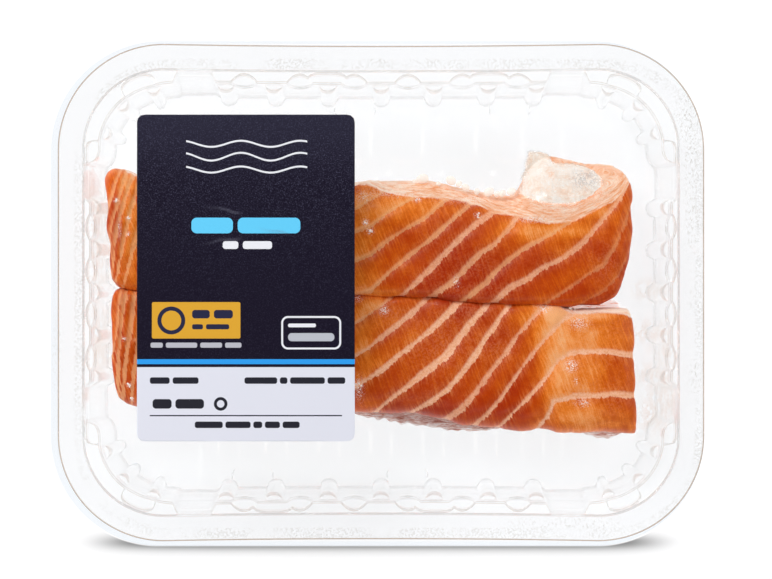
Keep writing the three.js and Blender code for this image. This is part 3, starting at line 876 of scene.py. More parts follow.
def labelFinish():
    paper = Finish("labelPaper")
    u = paper.x - (label["middle"][0] - label["width"] / 2)
    v = (label["middle"][1] + label["height"] / 2) - paper.y  # down from the top edge
    sharp = label["sharp"]

    def bar(left, top, right, bottom, radius=0.0):
        return paper.box(u, v, (left, top), (right, bottom), sharp, radius)

    def frame(left, top, right, bottom, radius, line, innerRadius):
        inner = bar(left + line, top + line, right - line, bottom - line, innerRadius)
        return bar(left, top, right, bottom, radius) - inner

    def words(left, top, height, lengths, gap):
        mask = None
        for length in lengths:
            word = bar(left, top, left + length, top + height, 0.35 * height)
            mask = word if mask is None else mask.most(word)
            left += length + gap
        return mask

    speck = paper.noise(paper.spot, 2.6, 3.0, 0.8).between(0.5, 0.68)
    # the navy's specks are the print's own; that they grow towards the top, and the lighter navy there, are
    # painted sheen
    navy = paper.mix(speck * (v.between(60.0, 0.0) * 0.6 + 0.2), label["navy"], label["speck"])
    navy = paper.mix(v.between(22.0, 0.0) * 0.5, navy, label["paintedSheen"])
    field = v.between(label["fieldTop"] - sharp, label["fieldTop"] + sharp)
    colour = paper.mix(field, navy, label["pale"])
    marks = [("blue", bar(-2, 71.9, 70, 73.3))]
    swell, motif = (u * 0.36).maths("SINE"), bar(14.5, 6.0, 50.0, 19.8)
    for depth, tall in ((8.6, 1.5), (12.38, 1.9), (16.16, 1.5)):
        line = abs(v - depth - swell * tall * 0.6).between(0.34, 0.2)
        marks.append(("white", line * motif))
    emblem = frame(6.0, 56.4, 14.2, 64.6, 4.1, 1.2, 2.9).most(words(16.2, 57.4, 2.5, (5.2, 5.6), 1.2))
    emblem = emblem.most(words(16.2, 61.6, 1.5, (3.2, 6.8), 0.9))
    marks += [
        ("sky", words(16.0, 30.3, 4.6, (12.2, 18.4), 1.4)),
        ("white", words(25.2, 37.2, 2.3, (4.6, 8.6), 1.3)),
        ("yellow", bar(4.4, 55.1, 30.4, 65.8, 0.5)),
        ("darkInk", emblem),
        ("greyWords", words(4.0, 67.0, 1.5, (3.6, 9.2, 6.4, 4.8), 0.9)),
        ("white", frame(42.4, 59.2, 60.0, 69.0, 2.0, 0.55, 1.5)),
        ("white", bar(44.4, 61.4, 52.6, 62.5, 0.5)),
        ("greyBar", bar(44.4, 64.2, 58.0, 66.6, 1.1)),
    ]
    for name, mask in marks:
        colour = paper.mix(mask, colour, label[name])
    # painted highlights where the film wrinkles over the label
    paintedGleam = 0
    for left, right, depth, slope in label["paintedGleams"]:
        stroke = abs(v - depth - (u - left) * slope - (u * 0.7).maths("SINE") * 0.25).between(0.8, 0.0)
        paintedGleam = u.between(left, right - 3.0) * u.between(right, right - 4.0) * stroke + paintedGleam
    colour = paper.mix(paintedGleam * (speck * 0.5 + 0.5) * 0.5, colour, label["paintedGleam"])
    small = words(3.8, 77.2, 1.9, (5.8, 7.6), 0.9).most(words(31.6, 77.2, 1.9, (9.6, 2.2, 10.2, 5.2), 0.8))
    heavy = words(4.6, 83.6, 2.8, (5.6, 8.4), 1.1).most(frame(22.6, 83.0, 26.6, 87.0, 2.0, 0.9, 1.1))
    foot = words(17.0, 90.2, 1.9, (8.2, 7.4, 2.6, 4.4, 5.0), 0.8)
    for mask in (small, heavy, bar(3.8, 88.3, 60.2, 88.6), foot):
        colour = paper.mix(mask, colour, label["ink"])
    fibre = paper.noise(paper.spot, 1.6, 4.0)
    surface = paper.principled(
        Base_Color=colour,
        Roughness=fibre * 0.12 + 0.4,
        IOR=1.25,
        Normal=paper.bump(fibre, 0.02, 0.5),
    )
    return paper.done(surface, paper.seeThrough((label["shadowSheer"],) * 3))


addPiece("paper_label", labelMesh(), labelFinish(), ["label"])

# The fillets: the outline knots run from left to right along the near edge and the far edge.
skin = {
    "thickness": 1.1,
    "clearance": 0.15,
    "ends": (-0.975, 0.985),
    "margin": 1.2,
    "steps": 300,
    "rows": 15,
    "fineRows": 9,
    "fineShare": 0.16,
    "wavyShare": 0.12,
    "edgeHeight": 0.5,
}
skinLevel = tray["wall"] + tray["panelRise"] + skin["clearance"]
filletBottom = skinLevel + skin["thickness"] + 0.3
section = {
    "widestShare": 0.32,
    "underPower": 6,
    "topEndPower": 14,
    "underEndPower": 10,
    "bellyBlend": (-10, 42),
    "columns": (330, 14),  # in the even middle, and in each rounded end
    "topRows": (118, 22),
    "underRows": (16, 7),
    "evenAlong": 0.985,
    "evenTop": 0.93,
    "evenUnder": 0.9,
    "lineBeyond": 9,  # to the unseen fat line past the first one and the last
    # how far the flesh swells between two lines, and how deep and how wide a line's groove is
    "swell": 0.4,
    "groove": (0.12, 0.8),
    "rindEdge": (-0.2, 0.6),
    "fray": 0.12,
    # the slow, the small and the fine waves: height, size, how much x and y count, and the draw's seed
    "waves": [(0.3, 17, 1, 1, 11), (0.05, 5.2, 1.3, 1, 12), (0.02, 1.7, 1, 0.5, 13)],
}
# A fat line is its widths at the foot, in the middle and at the top, how pale it is, and its points, all
# in the photograph's pixels. The lines are drawn on past the label's edges, so that they run under it.
# The knots of an end go from the near edge, -1, to the far edge, 1, each with its distance from the middle.
backFillet = {
    "name": "fillet_back",
    "leftEdge": [
        (-1, -77.4), (-0.96, -78.8), (-0.88, -79.6), (-0.6, -80.1), (-0.3, -79.8), (0.1, -80.3),
        (0.6, -81), (0.9, -81.2), (1, -80.4),
    ],
    "rightEdge": [
        (-1, 66), (-0.9, 70.3), (-0.7, 72.9), (-0.4, 74.6), (0, 75.3), (0.4, 75.4), (0.7, 75.1),
        (0.86, 74.2), (0.95, 72.6), (1, 70),
    ],
    "height": 24.5,
    "nearEdge": [
        (-82, 4.8), (-79, 3.2), (-76, 1.9), (-70, 0.9), (-40, 0.4), (-6.8, -0.3), (6.6, -0.9),
        (17.4, -1.3), (21, -2), (27.2, -2.6), (41, -3.1), (54.4, -3.6), (59.6, -3.6), (64, -3.2),
        (70, -2.4), (76, -2),
    ],
    "farEdge": [
        (-82, 34.6), (-80.5, 36), (-78.5, 37.2), (-75.5, 37.2), (-71, 35.6), (-40, 34.6), (-6.8, 33.3),
        (-2, 33.8), (9.4, 34), (18.1, 33.1), (28, 31.2), (37.3, 29.6), (41, 30.2), (46, 38), (51, 41.2),
        (57, 40.2), (63.8, 38.7), (69, 38.5), (76, 37.6),
    ],
    "nearPower": 10,
    "farPower": (3.2, 1.9),
    "lines": [
        ((2, 3, 3), 0.5, [(103, 235), (108, 205), (119, 171), (121, 160)]),
        ((2, 3, 3), 0.5, [(107, 262), (112, 225), (126, 172), (128, 160)]),
        ((2, 3.5, 3), 0.5, [(110, 288), (112, 262), (118, 225), (133, 173), (136, 160)]),
        ((2, 3.5, 3), 0.5, [(113, 300), (116, 280), (124, 240), (137, 190), (142, 165)]),
        ((2, 2.5, 2), 0.5, [(120, 300), (124, 285), (130, 262), (140, 225), (150, 170)]),
        ((5, 2.5, 2), 0.5, [(330, 245), (355, 231), (371, 225.5), (387, 213), (409, 200.6), (424, 190)]),
        ((5, 2.5, 4.5), 0.5,
         [(330, 276), (356, 260), (371, 254), (388, 240), (405.6, 229), (423, 219), (444, 200.6),
          (458, 188)]),
        ((2, 4, 3.5), 0.55,
         [(330, 300), (355, 292.5), (371, 289.6), (390, 271.4), (409.4, 255.2), (428.6, 240.8),
          (447.7, 223.6), (470.7, 203.5), (484, 192)]),
        ((2, 5, 5), 0.72,
         [(385, 308), (402.7, 294.4), (419, 280), (438, 261), (457.3, 240.8), (476.4, 223.6),
          (493.6, 210.2), (510, 196)]),
        ((4, 5.5, 2.5), 0.62,
         [(415, 308), (433, 295.4), (453.4, 281), (466.8, 266.7), (481.2, 252.3), (495, 244),
          (515.6, 220.2), (530, 204)]),
        ((4, 4, 2), 0.55,
         [(452, 309), (466.8, 298), (486, 282), (495, 272.2), (509, 259.2), (530.8, 244), (549.2, 235.4),
          (568.7, 222.4), (590, 205)]),
        ((5, 4.5, 2), 0.7,
         [(480, 313), (495, 301.5), (509, 287.4), (527.5, 278.7), (540.5, 269), (562.2, 258.1),
          (577.4, 247.3), (590.4, 234.3), (603.4, 218), (617.5, 201.8), (626, 188)]),
        ((2, 3, 1.5), 0.28,
         [(528, 313), (549.2, 300.4), (570.9, 286.3), (587.1, 274.4), (603.4, 264.6), (614.2, 246.2),
          (625, 222.4), (632, 205)]),
        ((1, 1.5, 1), 0.2,
         [(568, 316), (587, 300.4), (603.4, 290.6), (619.6, 274.4), (628.3, 253.8), (634, 235)]),
    ],
    "hidden": {"copyOf": 5, "step": -39, "count": 5},
    "ridge": [
        (100, 160), (118, 167), (140, 177), (340, 190), (364, 186), (385.5, 192.5), (411, 197), (448, 200),
        (479, 205.4), (497, 213), (526, 220), (544, 223.5), (569, 222.4), (582, 218), (598, 209.4),
        (621, 196.4), (634, 176),
    ],
    "warm": [(606, 172, 13, 8, 9.0), (556, 158, 12, 6, 3.0), (585, 178, 20, 8, 1.0)],
    # painted light and shade, with some tone of the flesh's own: spots that lighten or darken the flesh
    "paintedLightAndTone": [
        (395, 205, 50, 14, 0.4), (450, 212, 20, 8, 0.05), (360, 245, 15, 60, 0.22),
        (510, 226, 22, 10, 0.25), (560, 232, 50, 9, 0.4), (590, 212, 26, 8, 0.4),
        (455, 262, 50, 32, -0.38), (500, 292, 60, 12, -0.3), (585, 292, 30, 9, -0.2),
        (420, 288, 34, 14, -0.2), (114, 222, 8, 40, -0.38), (606, 250, 22, 30, -0.25),
        (540, 262, 18, 16, -0.3), (560, 255, 30, 8, 0.05), (128, 210, 8, 60, 0.05),
        (404, 265, 10, 10, 0.2), (462, 224, 34, 14, -0.24), (375, 294, 35, 7, 0.34),
        (500, 272, 34, 14, -0.2), (575, 270, 16, 20, -0.1), (448, 301, 10, 6, -0.9),
        (124, 180, 16, 22, 0.25), (132, 240, 10, 50, 0.25),
    ],
    # painted sheen: pinkish spots where the flesh reflects the light
    "paintedSheens": [
        (440, 235, 30, 24, 0.2), (482, 268, 36, 24, 0.25), (560, 258, 30, 12, 0.2),
        (480, 292, 40, 9, 0.25), (606, 262, 16, 26, 0.35), (430, 280, 26, 14, 0.2),
    ],
    # painted highlights
    "glints": [
        (364, 198, 8, 5, 0.5), (365.5, 222.5, 2.5, 3, 1), (370, 231, 3, 3, 1), (417.5, 200, 3, 2.5, 0.9),
        (478, 215.5, 3, 2.5, 0.8), (536, 219.5, 17, 3, 0.85), (396, 193, 22, 4, 0.5),
        (470, 198, 26, 6, 0.5), (560, 206, 22, 7, 0.55), (456, 281, 3, 5, 0.5), (116.6, 200.6, 2, 2, 1),
        (129, 218, 2, 2, 0.9), (128.6, 234, 2, 2, 0.9), (120, 227, 2, 10, 0.5), (600, 190, 10, 12, 0.4),
    ],
}
frontFillet = {
    "name": "fillet_front",
    "leftEdge": [
        (-1, -73.5), (-0.93, -76.8), (-0.8, -78), (-0.5, -78.6), (-0.1, -79.1), (0.3, -79.4), (0.6, -79.1),
        (0.8, -78.6), (0.95, -77.8), (1, -76.9),
    ],
    "rightEdge": [(-1, 76.7), (-0.9, 77), (-0.4, 76.7), (0.2, 76), (0.8, 75.5), (0.95, 75.1), (1, 74.3)],
    "height": 22.5,
    "nearEdge": [
        (-82, -31), (-76, -32.8), (-70, -33.8), (-40, -34.6), (-6.8, -34.9), (10.6, -36), (19.9, -37.4),
        (26.8, -39.1), (37.3, -40.3), (44.3, -40.8), (51.2, -40.6), (54, -41.3), (78, -41.5),
    ],
    "farEdge": [
        (-81, 1.4), (-74, 1.6), (-40, 1), (-6.8, 0.3), (6.6, -0.3), (17.4, -0.7), (27.2, -2), (41, -2.5),
        (50, -2.7), (53.5, -3.1), (56, -4.1), (60, -4.5), (73, -4.6), (78, -5),
    ],
    "nearPower": 3.6,
    "farPower": (10, 10),
    "lines": [
        ((2, 3, 3), 0.5, [(108, 375), (113, 350), (121, 290), (123, 275)]),
        ((2, 3, 3), 0.5, [(114, 415), (117, 395), (120, 330), (127, 285), (129, 272)]),
        ((2, 3.5, 3), 0.5, [(119, 420), (122, 400), (126, 360), (134, 300), (137, 275)]),
        ((2, 3, 2), 0.5, [(128, 420), (131, 400), (139, 330), (146, 280)]),
        ((1.5, 1.5, 1.5), 0.6,
         [(325, 340), (355.8, 322.5), (366.4, 315.8), (379.7, 306.3), (393, 295.7), (407, 284)]),
        ((2, 4, 4.5), 0.85,
         [(325, 372), (355.8, 355), (368.3, 348.4), (380.7, 337.8), (394, 327.3), (409.4, 314.9),
          (426.6, 298.6), (440, 286)]),
        ((4, 3.5, 6.5), 1,
         [(325, 402), (355, 386.6), (368.3, 379), (383.6, 368.4), (397.9, 356), (413.2, 344.5),
          (428.5, 332.1), (442.9, 318.7), (457.2, 304.3), (472, 290)]),
        ((1.5, 7, 4), 1,
         [(360, 422), (378.8, 408.6), (395, 396.2), (411.3, 383.8), (428.5, 369.4), (445.8, 356),
          (457.2, 339.7), (468.7, 325.4), (485, 307.2), (496, 294)]),
        ((3, 5.5, 2.5), 1,
         [(398, 424), (414.2, 412.5), (431.4, 401.9), (447.7, 389.5), (462, 372.3), (474.5, 356),
          (485.9, 337.8), (495.5, 325.4), (502, 313.9), (509.3, 305.7), (520, 292)]),
        ((6, 3.5, 2.5), 0.75,
         [(430, 432), (447.7, 419), (462, 408.6), (476.4, 391.4), (490.7, 371.3), (504.6, 354.4),
          (518.9, 333.4), (533.3, 317.1), (544.7, 305.7), (556, 294)]),
        ((2.5, 2.5, 9), 0.8,
         [(460, 438), (475.4, 424.9), (488.8, 412.5), (502, 397), (506.5, 389.8), (523.7, 365),
          (538, 346.8), (552.4, 330.5), (564.8, 319), (574.4, 311), (590.7, 309.6), (609.8, 309.6),
          (629.9, 311), (642, 312)]),
        ((2, 2.5, 6), 0.95,
         [(485, 440), (500.7, 426.2), (514.1, 411.8), (526.6, 399.4), (536.1, 388.9), (548.6, 373.6),
          (558.1, 360.2), (571.5, 352.5), (590.7, 351.6), (609.8, 351.6), (631.8, 355.4), (642, 357)]),
        ((2, 4, 6), 0.95,
         [(532, 446), (540.9, 426.2), (548.6, 414.7), (553.4, 401.3), (563.9, 399.4), (576.3, 395.6),
          (595.5, 395.6), (614.6, 393.7), (632.8, 395.6), (644, 396)]),
    ],
    "hidden": {"copyOf": 4, "step": -38, "count": 5},
    "ridge": [
        (90, 250), (500, 262), (540, 284), (556, 304), (566, 311.5), (580, 314.5), (600, 313.5),
        (620, 314.5), (632, 318), (650, 330),
    ],
    "warm": [],
    # painted light and shade, with some tone of the flesh's own: spots that lighten or darken the flesh
    "paintedLightAndTone": [
        (596, 332, 44, 22, 0.38), (590, 370, 44, 18, 0.3), (556, 372, 16, 30, 0.4),
        (558, 335, 16, 34, 0.22), (580, 412, 40, 20, 0.42), (545, 322, 20, 16, 0.3),
        (362, 345, 15, 60, 0.22), (368, 318, 24, 10, 0.1), (390, 395, 60, 14, -0.2),
        (450, 408, 60, 12, -0.25), (515, 395, 24, 26, -0.28), (500, 335, 24, 14, -0.2),
        (410, 335, 30, 14, 0.05), (448, 298, 10, 5, -0.9), (462, 314, 34, 12, -0.3),
        (455, 345, 40, 26, -0.12), (400, 375, 40, 10, -0.1), (535, 372, 12, 20, -0.1),
        (116, 340, 10, 70, -0.18), (130, 380, 12, 40, -0.05), (470, 414, 90, 9, -0.22),
        (455, 388, 70, 20, -0.08), (470, 306, 26, 8, -0.2), (575, 312, 40, 8, 0.3), (372, 305, 14, 6, 0.2),
        (126, 400, 14, 16, -0.15), (540, 300, 34, 6, 0.4), (552, 306, 14, 6, 0.4),
        (616, 370, 14, 60, -0.2), (590, 316, 30, 5, 0.3),
    ],
    # painted sheen: pinkish spots where the flesh reflects the light
    "paintedSheens": [
        (606, 328, 26, 16, 0.4), (590, 360, 40, 14, 0.3), (595, 388, 40, 12, 0.35),
        (606, 405, 20, 12, 0.35), (395, 315, 30, 12, 0.45), (440, 345, 40, 24, 0.5),
        (470, 312, 30, 12, 0.45), (430, 390, 40, 16, 0.2), (500, 345, 20, 20, 0.4), (556, 300, 14, 5, 0.5),
    ],
    # painted highlights, and one white crumb
    "glints": [
        (384, 310, 4, 4, 0.9), (358, 298, 4, 4, 0.8), (359, 388, 4, 9, 0.9), (545, 307, 6, 5, 0.9),
        (572, 309, 8, 2, 0.9), (579, 323, 9, 6, 0.7), (571, 366, 5, 5, 1.6), (576, 381, 2, 3, 0.9),
        (582, 403, 7, 4, 0.6), (124, 339, 2, 2, 0.9), (128.6, 385, 2, 2, 0.9), (131.6, 399, 2, 2, 0.9),
        (608, 309, 22, 2, 0.5),
    ],
}


def spreadOut(count, endCount, power, start):
    # from -1 to 1: even in plan in the middle, and even in height where the rounded ends fall away
    inner = np.linspace(-start, start, count)
    startShare = (1 - start**power) ** (1 / power)
    outer = (1 - np.linspace(startShare, 0, endCount + 1)[1:] ** power) ** (1 / power)
    return np.concatenate([-outer[::-1], inner, outer])


def planOf(fillet, s, t):
    x = np.where(s < 0, -curveAt(fillet["leftEdge"], t), curveAt(fillet["rightEdge"], t)) * s
    y = blendOf(curveAt(fillet["nearEdge"], x), curveAt(fillet["farEdge"], x), (t + 1) / 2)
    return x, y


def filletLevel(fillet, s, t, x, isTop):
    widest = filletBottom + section["widestShare"] * fillet["height"]
    endPower = np.where(isTop, section["topEndPower"], section["underEndPower"])
    farPower = blendOf(*fillet["farPower"], smoothStep(x, *section["bellyBlend"]))
    power = np.where(isTop, np.where(t > 0, farPower, fillet["nearPower"]), section["underPower"])
    across = (1 - np.abs(t) ** power).clip(0) ** (1 / power)
    along = (1 - np.abs(s) ** endPower).clip(0) ** (1 / endPower)
    share = across * along
    rise = fillet["height"] - (widest - filletBottom)
    return np.where(isTop, widest + rise * share, widest - (widest - filletBottom) * share)


def levelOver(fillet, x, y, low, high):
    # how high the top of a fillet is here, with the place across it kept between low and high
    near, far = curveAt(fillet["nearEdge"], x), curveAt(fillet["farEdge"], x)
    return filletLevel(fillet, 0.5, np.clip(2 * (y - near) / (far - near) - 1, low, high), x, True)


def lineField(x, y, lines):
    # distance to the nearest edge of a fat line, how pale that line is, and how far a point is from the
    # line on its left to the one on its right
    signed, edges = [], []
    for widths, _, line in lines:
        a, b = line[:-1], line[1:]
        step = b - a
        fromA = np.stack([x, y], -1)[..., None, :] - a
        share = np.clip((fromA * step).sum(-1) / (step * step).sum(-1), 0, 1)
        away = fromA - share[..., None] * step
        distance = np.hypot(away[..., 0], away[..., 1])
        side = step[:, 0] * fromA[..., 1] - step[:, 1] * fromA[..., 0]
        nearest = distance.argmin(-1)[..., None]
        sign = -np.sign(np.take_along_axis(side, nearest, -1)[..., 0])
        along = (nearest[..., 0] + np.take_along_axis(share, nearest, -1)[..., 0]) / len(step)
        width = np.interp(along, (0, 0.5, 1), widths) / view["pxPerMm"]
        signed.append(sign * distance.min(-1))
        edges.append(distance.min(-1) - width / 2)
    signed = np.array(signed)
    passed = (signed > 0).sum(0)
    beyond = section["lineBeyond"]
    padded = np.concatenate([[signed[0] + beyond], signed, [signed[-1] - beyond]])
    before = np.abs(np.take_along_axis(padded, passed[None], 0)[0])
    after = np.abs(np.take_along_axis(padded, np.minimum(passed + 1, len(lines) + 1)[None], 0)[0])
    paleness = np.array([pale for _, pale, _ in lines])[np.argmin(edges, axis=0)]
    return np.min(edges, axis=0), paleness, before / (before + after + 1e-6)


def filletLines(fillet):
    hidden = fillet["hidden"]
    lines = [(widths, pale, np.array(points, float)) for widths, pale, points in fillet["lines"]]
    at = hidden["copyOf"]
    widths, pale, model = lines[at]
    copies = [(widths, pale, model + (hidden["step"] * k, 0)) for k in range(hidden["count"], 0, -1)]
    lines = lines[:at] + copies + lines[at:]
    return [(widths, pale, outlineOnPack(points, lineHeight)) for widths, pale, points in lines]


def unevenness(x, y):
    waves = section["waves"]
    return sum(height * ripple(x * byX, y * byY, size, seed) for height, size, byX, byY, seed in waves)


def filletMesh(fillet):
    s = spreadOut(*section["columns"], section["topEndPower"], section["evenAlong"])
    top = spreadOut(*section["topRows"], fillet["nearPower"], section["evenTop"])
    under = spreadOut(*section["underRows"], section["underPower"], section["evenUnder"])[::-1][1:-1]
    t = np.concatenate([top, under])
    isTop = np.concatenate([np.ones(len(top), bool), np.zeros(len(under), bool)])
    alongs, acrosses = np.meshgrid(s, t, indexing="ij")
    isTop = np.broadcast_to(isTop, alongs.shape)
    x, y = planOf(fillet, alongs, acrosses)
    z = filletLevel(fillet, alongs, acrosses, x, isTop)
    points = np.stack([x, y, z], -1)
    gap, paleness, flake = lineField(x, y, filletLines(fillet))
    ridge = outlineOnPack(fillet["ridge"], lineHeight)
    overRidge = y - curveAt(ridge, x) - spots(x, y, fillet["warm"])
    rind = smoothStep(overRidge, *section["rindEdge"])
    deep, wide = section["groove"]
    swell = section["swell"] * (1 - (2 * flake - 1) ** 2) - deep * np.exp(-((gap / wide) ** 2))
    grain = unevenness(x, y)
    frayed = section["fray"] * rind * ripple(0.3 * x, overRidge, 1.4, 14)
    lift = np.where(isTop, (1 - rind) * swell + grain + frayed, 0.3 * grain)
    normals = gridNormals(points, True)
    if normals[len(s) // 2, len(top) // 2, 2] < 0:
        normals = -normals
    points = points + normals * lift[..., None]
    facts = {
        "lineGap": gap,
        "flake": flake,
        "paleness": paleness,
        "overRidge": overRidge,
        # glow carries painted light and shade, with some tone of the flesh's own
        "glow": 0.5 + spots(x, y, fillet["paintedLightAndTone"]),
        "veil": spots(x, y, fillet["paintedSheens"]),
        "glint": spots(x, y, fillet["glints"]),
        # depth feeds a painted shade down the flesh's sides
        "depth": np.clip((fillet["height"] + filletBottom - points[..., 2]) / fillet["height"], 0, 1),
    }
    return makeMesh(fillet["name"], points, gridFaces(len(s), len(t), True), facts)


fleshLook = {
    "tones": [  # from the deep red flesh to the pale flesh
        (0.0, (0.41, 0.026, 0.0005)),
        (0.27, (0.53, 0.058, 0.001)),
        (0.48, (0.66, 0.108, 0.003)),
        (0.68, (0.86, 0.21, 0.018)),
        (0.84, (0.97, 0.34, 0.09)),
        (1.0, (1.0, 0.46, 0.19)),
    ],
    "rindTones": [(0.38, (0.87, 0.32, 0.13)), (0.5, (0.95, 0.52, 0.32)), (0.64, (1.0, 0.76, 0.6))],
    "fat": ((0.9, 0.4, 0.2), (0.99, 0.54, 0.34)),
    "thinFat": (0.94, 0.5, 0.22),
    "halo": (0.9, 0.34, 0.13),
    # veil is a painted pinkish sheen
    "veil": (0.74, 0.27, 0.15),
    # side is a painted shade, darker and redder down the sides
    "side": (0.46, 0.09, 0.012),
    # spark is the white of painted highlights and of the crumb
    "spark": (1.0, 0.95, 0.9),
    "fibreTilt": (0.94, 0.34),  # the fibres run a little off the y axis
}


def fleshFinish():
    flesh = Finish("flesh")
    gap, flake, overRidge = (flesh.attribute(name) for name in ("lineGap", "flake", "overRidge"))
    glow, veil, glint = (flesh.attribute(name) for name in ("glow", "veil", "glint"))
    paleness, depth = flesh.attribute("paleness"), flesh.attribute("depth")
    slow = flesh.noise(flesh.spot, 0.07, 2.0)
    mostly, partly = fleshLook["fibreTilt"]
    acrossFibre = flesh.x * mostly + flesh.y * partly + slow * 2.5
    alongFibre = flesh.y * mostly - flesh.x * partly
    fibre = flesh.noise(flesh.point(acrossFibre * 2.2, alongFibre * 0.13, flesh.z * 0.1), 1.0, 3.0, 0.6)
    teeth = flesh.noise(flesh.point(acrossFibre * 1.3, alongFibre * 0.12, flesh.z * 0.1), 1.0, 3.0, 0.65)
    wander = flesh.noise(flesh.spot, 0.16, 3.0)
    cloud = flesh.noise(flesh.spot, 0.2, 5.0, 0.6)
    grain = flesh.noise(flesh.spot, 1.5, 3.0, 0.65)
    stroke = fibre.between(0.42, 0.62)
    # the edge of the fat is jagged on the lower side of a line and soft on the upper one
    above = flake.between(0.4, 0.6)
    jagged = gap + (teeth - 0.5) * (2.1 - above * 1.1) + (wander - 0.5) * 1.0
    fat = jagged.between(above * 0.3 + 0.3, above * -0.4 - 0.02) * paleness
    halo = (gap + (teeth - 0.5) * 3.0).between(2.4, 0.0) * paleness
    # glow brings in painted light and shade
    share = glow + (cloud - 0.5) * 0.7 + (stroke - 0.4) * 0.14 + (flake - 0.5) * 0.28 + (grain - 0.5) * 0.3
    colour = flesh.ramp(share * 0.87, fleshLook["tones"])
    colour = flesh.mix(stroke * halo * 0.32, colour, fleshLook["halo"])
    speckled = grain.between(0.42, 0.6) * cloud.between(0.3, 0.55)
    # painted sheen
    colour = flesh.mix(veil * speckled * 0.6, colour, fleshLook["veil"])
    core = flesh.mix(grain.between(0.35, 0.6), *fleshLook["fat"])
    core = flesh.mix(paleness.between(0.75, 0.45), core, fleshLook["thinFat"])
    colour = flesh.mix(fat * (cloud * 0.6 + 0.68), colour, core)
    rind = (overRidge + (teeth - 0.5) * 1.6).between(-0.3, 0.5)
    streak = flesh.noise(flesh.point(flesh.x * 0.32, overRidge * 1.9, flesh.z * 0.2), 1.0, 5.0, 0.75)
    # the front fillet's band and the left part of the back fillet's are paler
    creamy = flesh.y.between(0.0, -3.0) * 0.15 + flesh.x.between(20.0, -5.0) * 0.09
    colour = flesh.mix(rind, colour, flesh.ramp(streak + creamy, fleshLook["rindTones"]))
    # painted shade: darker and redder down the flesh's sides
    colour = flesh.mix(depth.between(0.3, 0.9) * 0.12, colour, fleshLook["side"])
    # painted highlights, white in the base colour, and the white crumb
    spark = (glint * flesh.noise(flesh.spot, 3.0, 2.0).between(0.5, 0.57)).least(1.0)
    surface = flesh.principled(
        Base_Color=flesh.mix(spark, colour, fleshLook["spark"]),
        Roughness=cloud * 0.3 + 0.24,
        IOR=1.22,
        Coat_Weight=0.06,
        Coat_Roughness=0.08,
        Normal=flesh.bump(fibre + grain * 0.7, 0.11, 0.7),
    )
    return flesh.done(surface)


fleshSurface = fleshFinish()
for facts in (backFillet, frontFillet):
    addPiece(facts["name"] + "_flesh", filletMesh(facts), fleshSurface, [facts["name"]])

# The skins under the fillets. A tab is where one stands out beyond the flesh: from x, to x, and how far.
skinTabs = {
    "skin_back": {"near": [], "far": []},
    "skin_front": {"near": [(-14, 40, 4.8), (60, 76, 3.3)], "far": [(56.5, 75, 5.3)]},
}


def tabReach(x, tabs, seed):
    reach = np.zeros_like(x)
    for start, end, most in tabs:
        share = np.clip((x - start) / (end - start), 0, 1)
        reach += most * np.sin(np.pi * share) ** 0.6 * (1 + 0.08 * ripple(x, 0 * x, 4, seed))
    return reach


def skinMesh(name, fillet, tabs):
    steps, fine = skin["steps"], skin["fineShare"]
    s = np.linspace(*skin["ends"], steps)
    nearX, near = planOf(fillet, s, np.full(steps, -1.0))
    farX, far = planOf(fillet, s, np.full(steps, 1.0))
    near = near + skin["margin"] - tabReach(nearX, tabs["near"], 31)
    far = far - skin["margin"] + tabReach(farX, tabs["far"], 34)
    inner = np.linspace(0, fine, skin["fineRows"])
    middle = np.linspace(fine, 1 - fine, skin["rows"])[1:-1]
    across = np.concatenate([inner, middle, 1 - inner[::-1]])[:, None]
    x = nearX + (farX - nearX) * across
    y = near + (far - near) * across
    edge = 1 - smoothStep(np.minimum(across, 1 - across), 0, skin["wavyShare"])
    wave = 0.22 * ripple(x, 2.5 * y, 5.5, 32) + 0.1 * ripple(0.5 * x, 4 * y, 2.4, 33)
    top = skinLevel + skin["thickness"] - 0.15 + edge * (wave - 0.1)
    top[0] = top[-1] = skinLevel + skin["edgeHeight"]
    under = np.full_like(top, skinLevel)
    points = np.concatenate([np.stack([x, y, under], -1)[::-1], np.stack([x, y, top], -1)])
    columns = np.moveaxis(points, 0, 1)  # one closed section after another along the skin
    count = columns.shape[1]
    start, end = (np.repeat(part.mean(1, keepdims=True), count, 1) for part in (columns[:1], columns[-1:]))
    capped = np.concatenate([start, columns, end])
    return makeMesh(name, capped, gridFaces(len(capped), count, True))


skinTones = [
    (0.36, (0.5, 0.18, 0.13)),
    (0.43, (0.78, 0.52, 0.45)),
    (0.5, (0.94, 0.82, 0.78)),
    (0.56, (1.0, 0.98, 0.98)),
]


def skinFinish():
    silver = Finish("fishSkin")
    along = silver.point(silver.x * 0.3 + silver.y * 0.1, silver.y * 2.2, silver.z * 0.6)
    # painted light: the flap at the far edge is made brighter and glows, standing in for light that the
    # fillets shade from it
    far = silver.y.between(-30.0, -10.0)  # the flap at the far edge is brighter
    streak = silver.noise(along, 1.0, 5.0, 0.75) + far * 0.09 - 0.045
    colour = silver.ramp(streak, skinTones)
    surface = silver.principled(
        Base_Color=colour,
        Emission_Color=silver.mix(far, (0.0, 0.0, 0.0), colour),
        Emission_Strength=0.35,
        Roughness=0.3,
        Coat_Weight=0.4,
        Normal=silver.bump(streak, 0.2, 0.8),
    )
    return silver.done(surface)


skinSurface = skinFinish()
for name, facts in (("skin_back", backFillet), ("skin_front", frontFillet)):
    addPiece(name + "_sheet", skinMesh(name, facts, skinTabs[name]), skinSurface, [name])

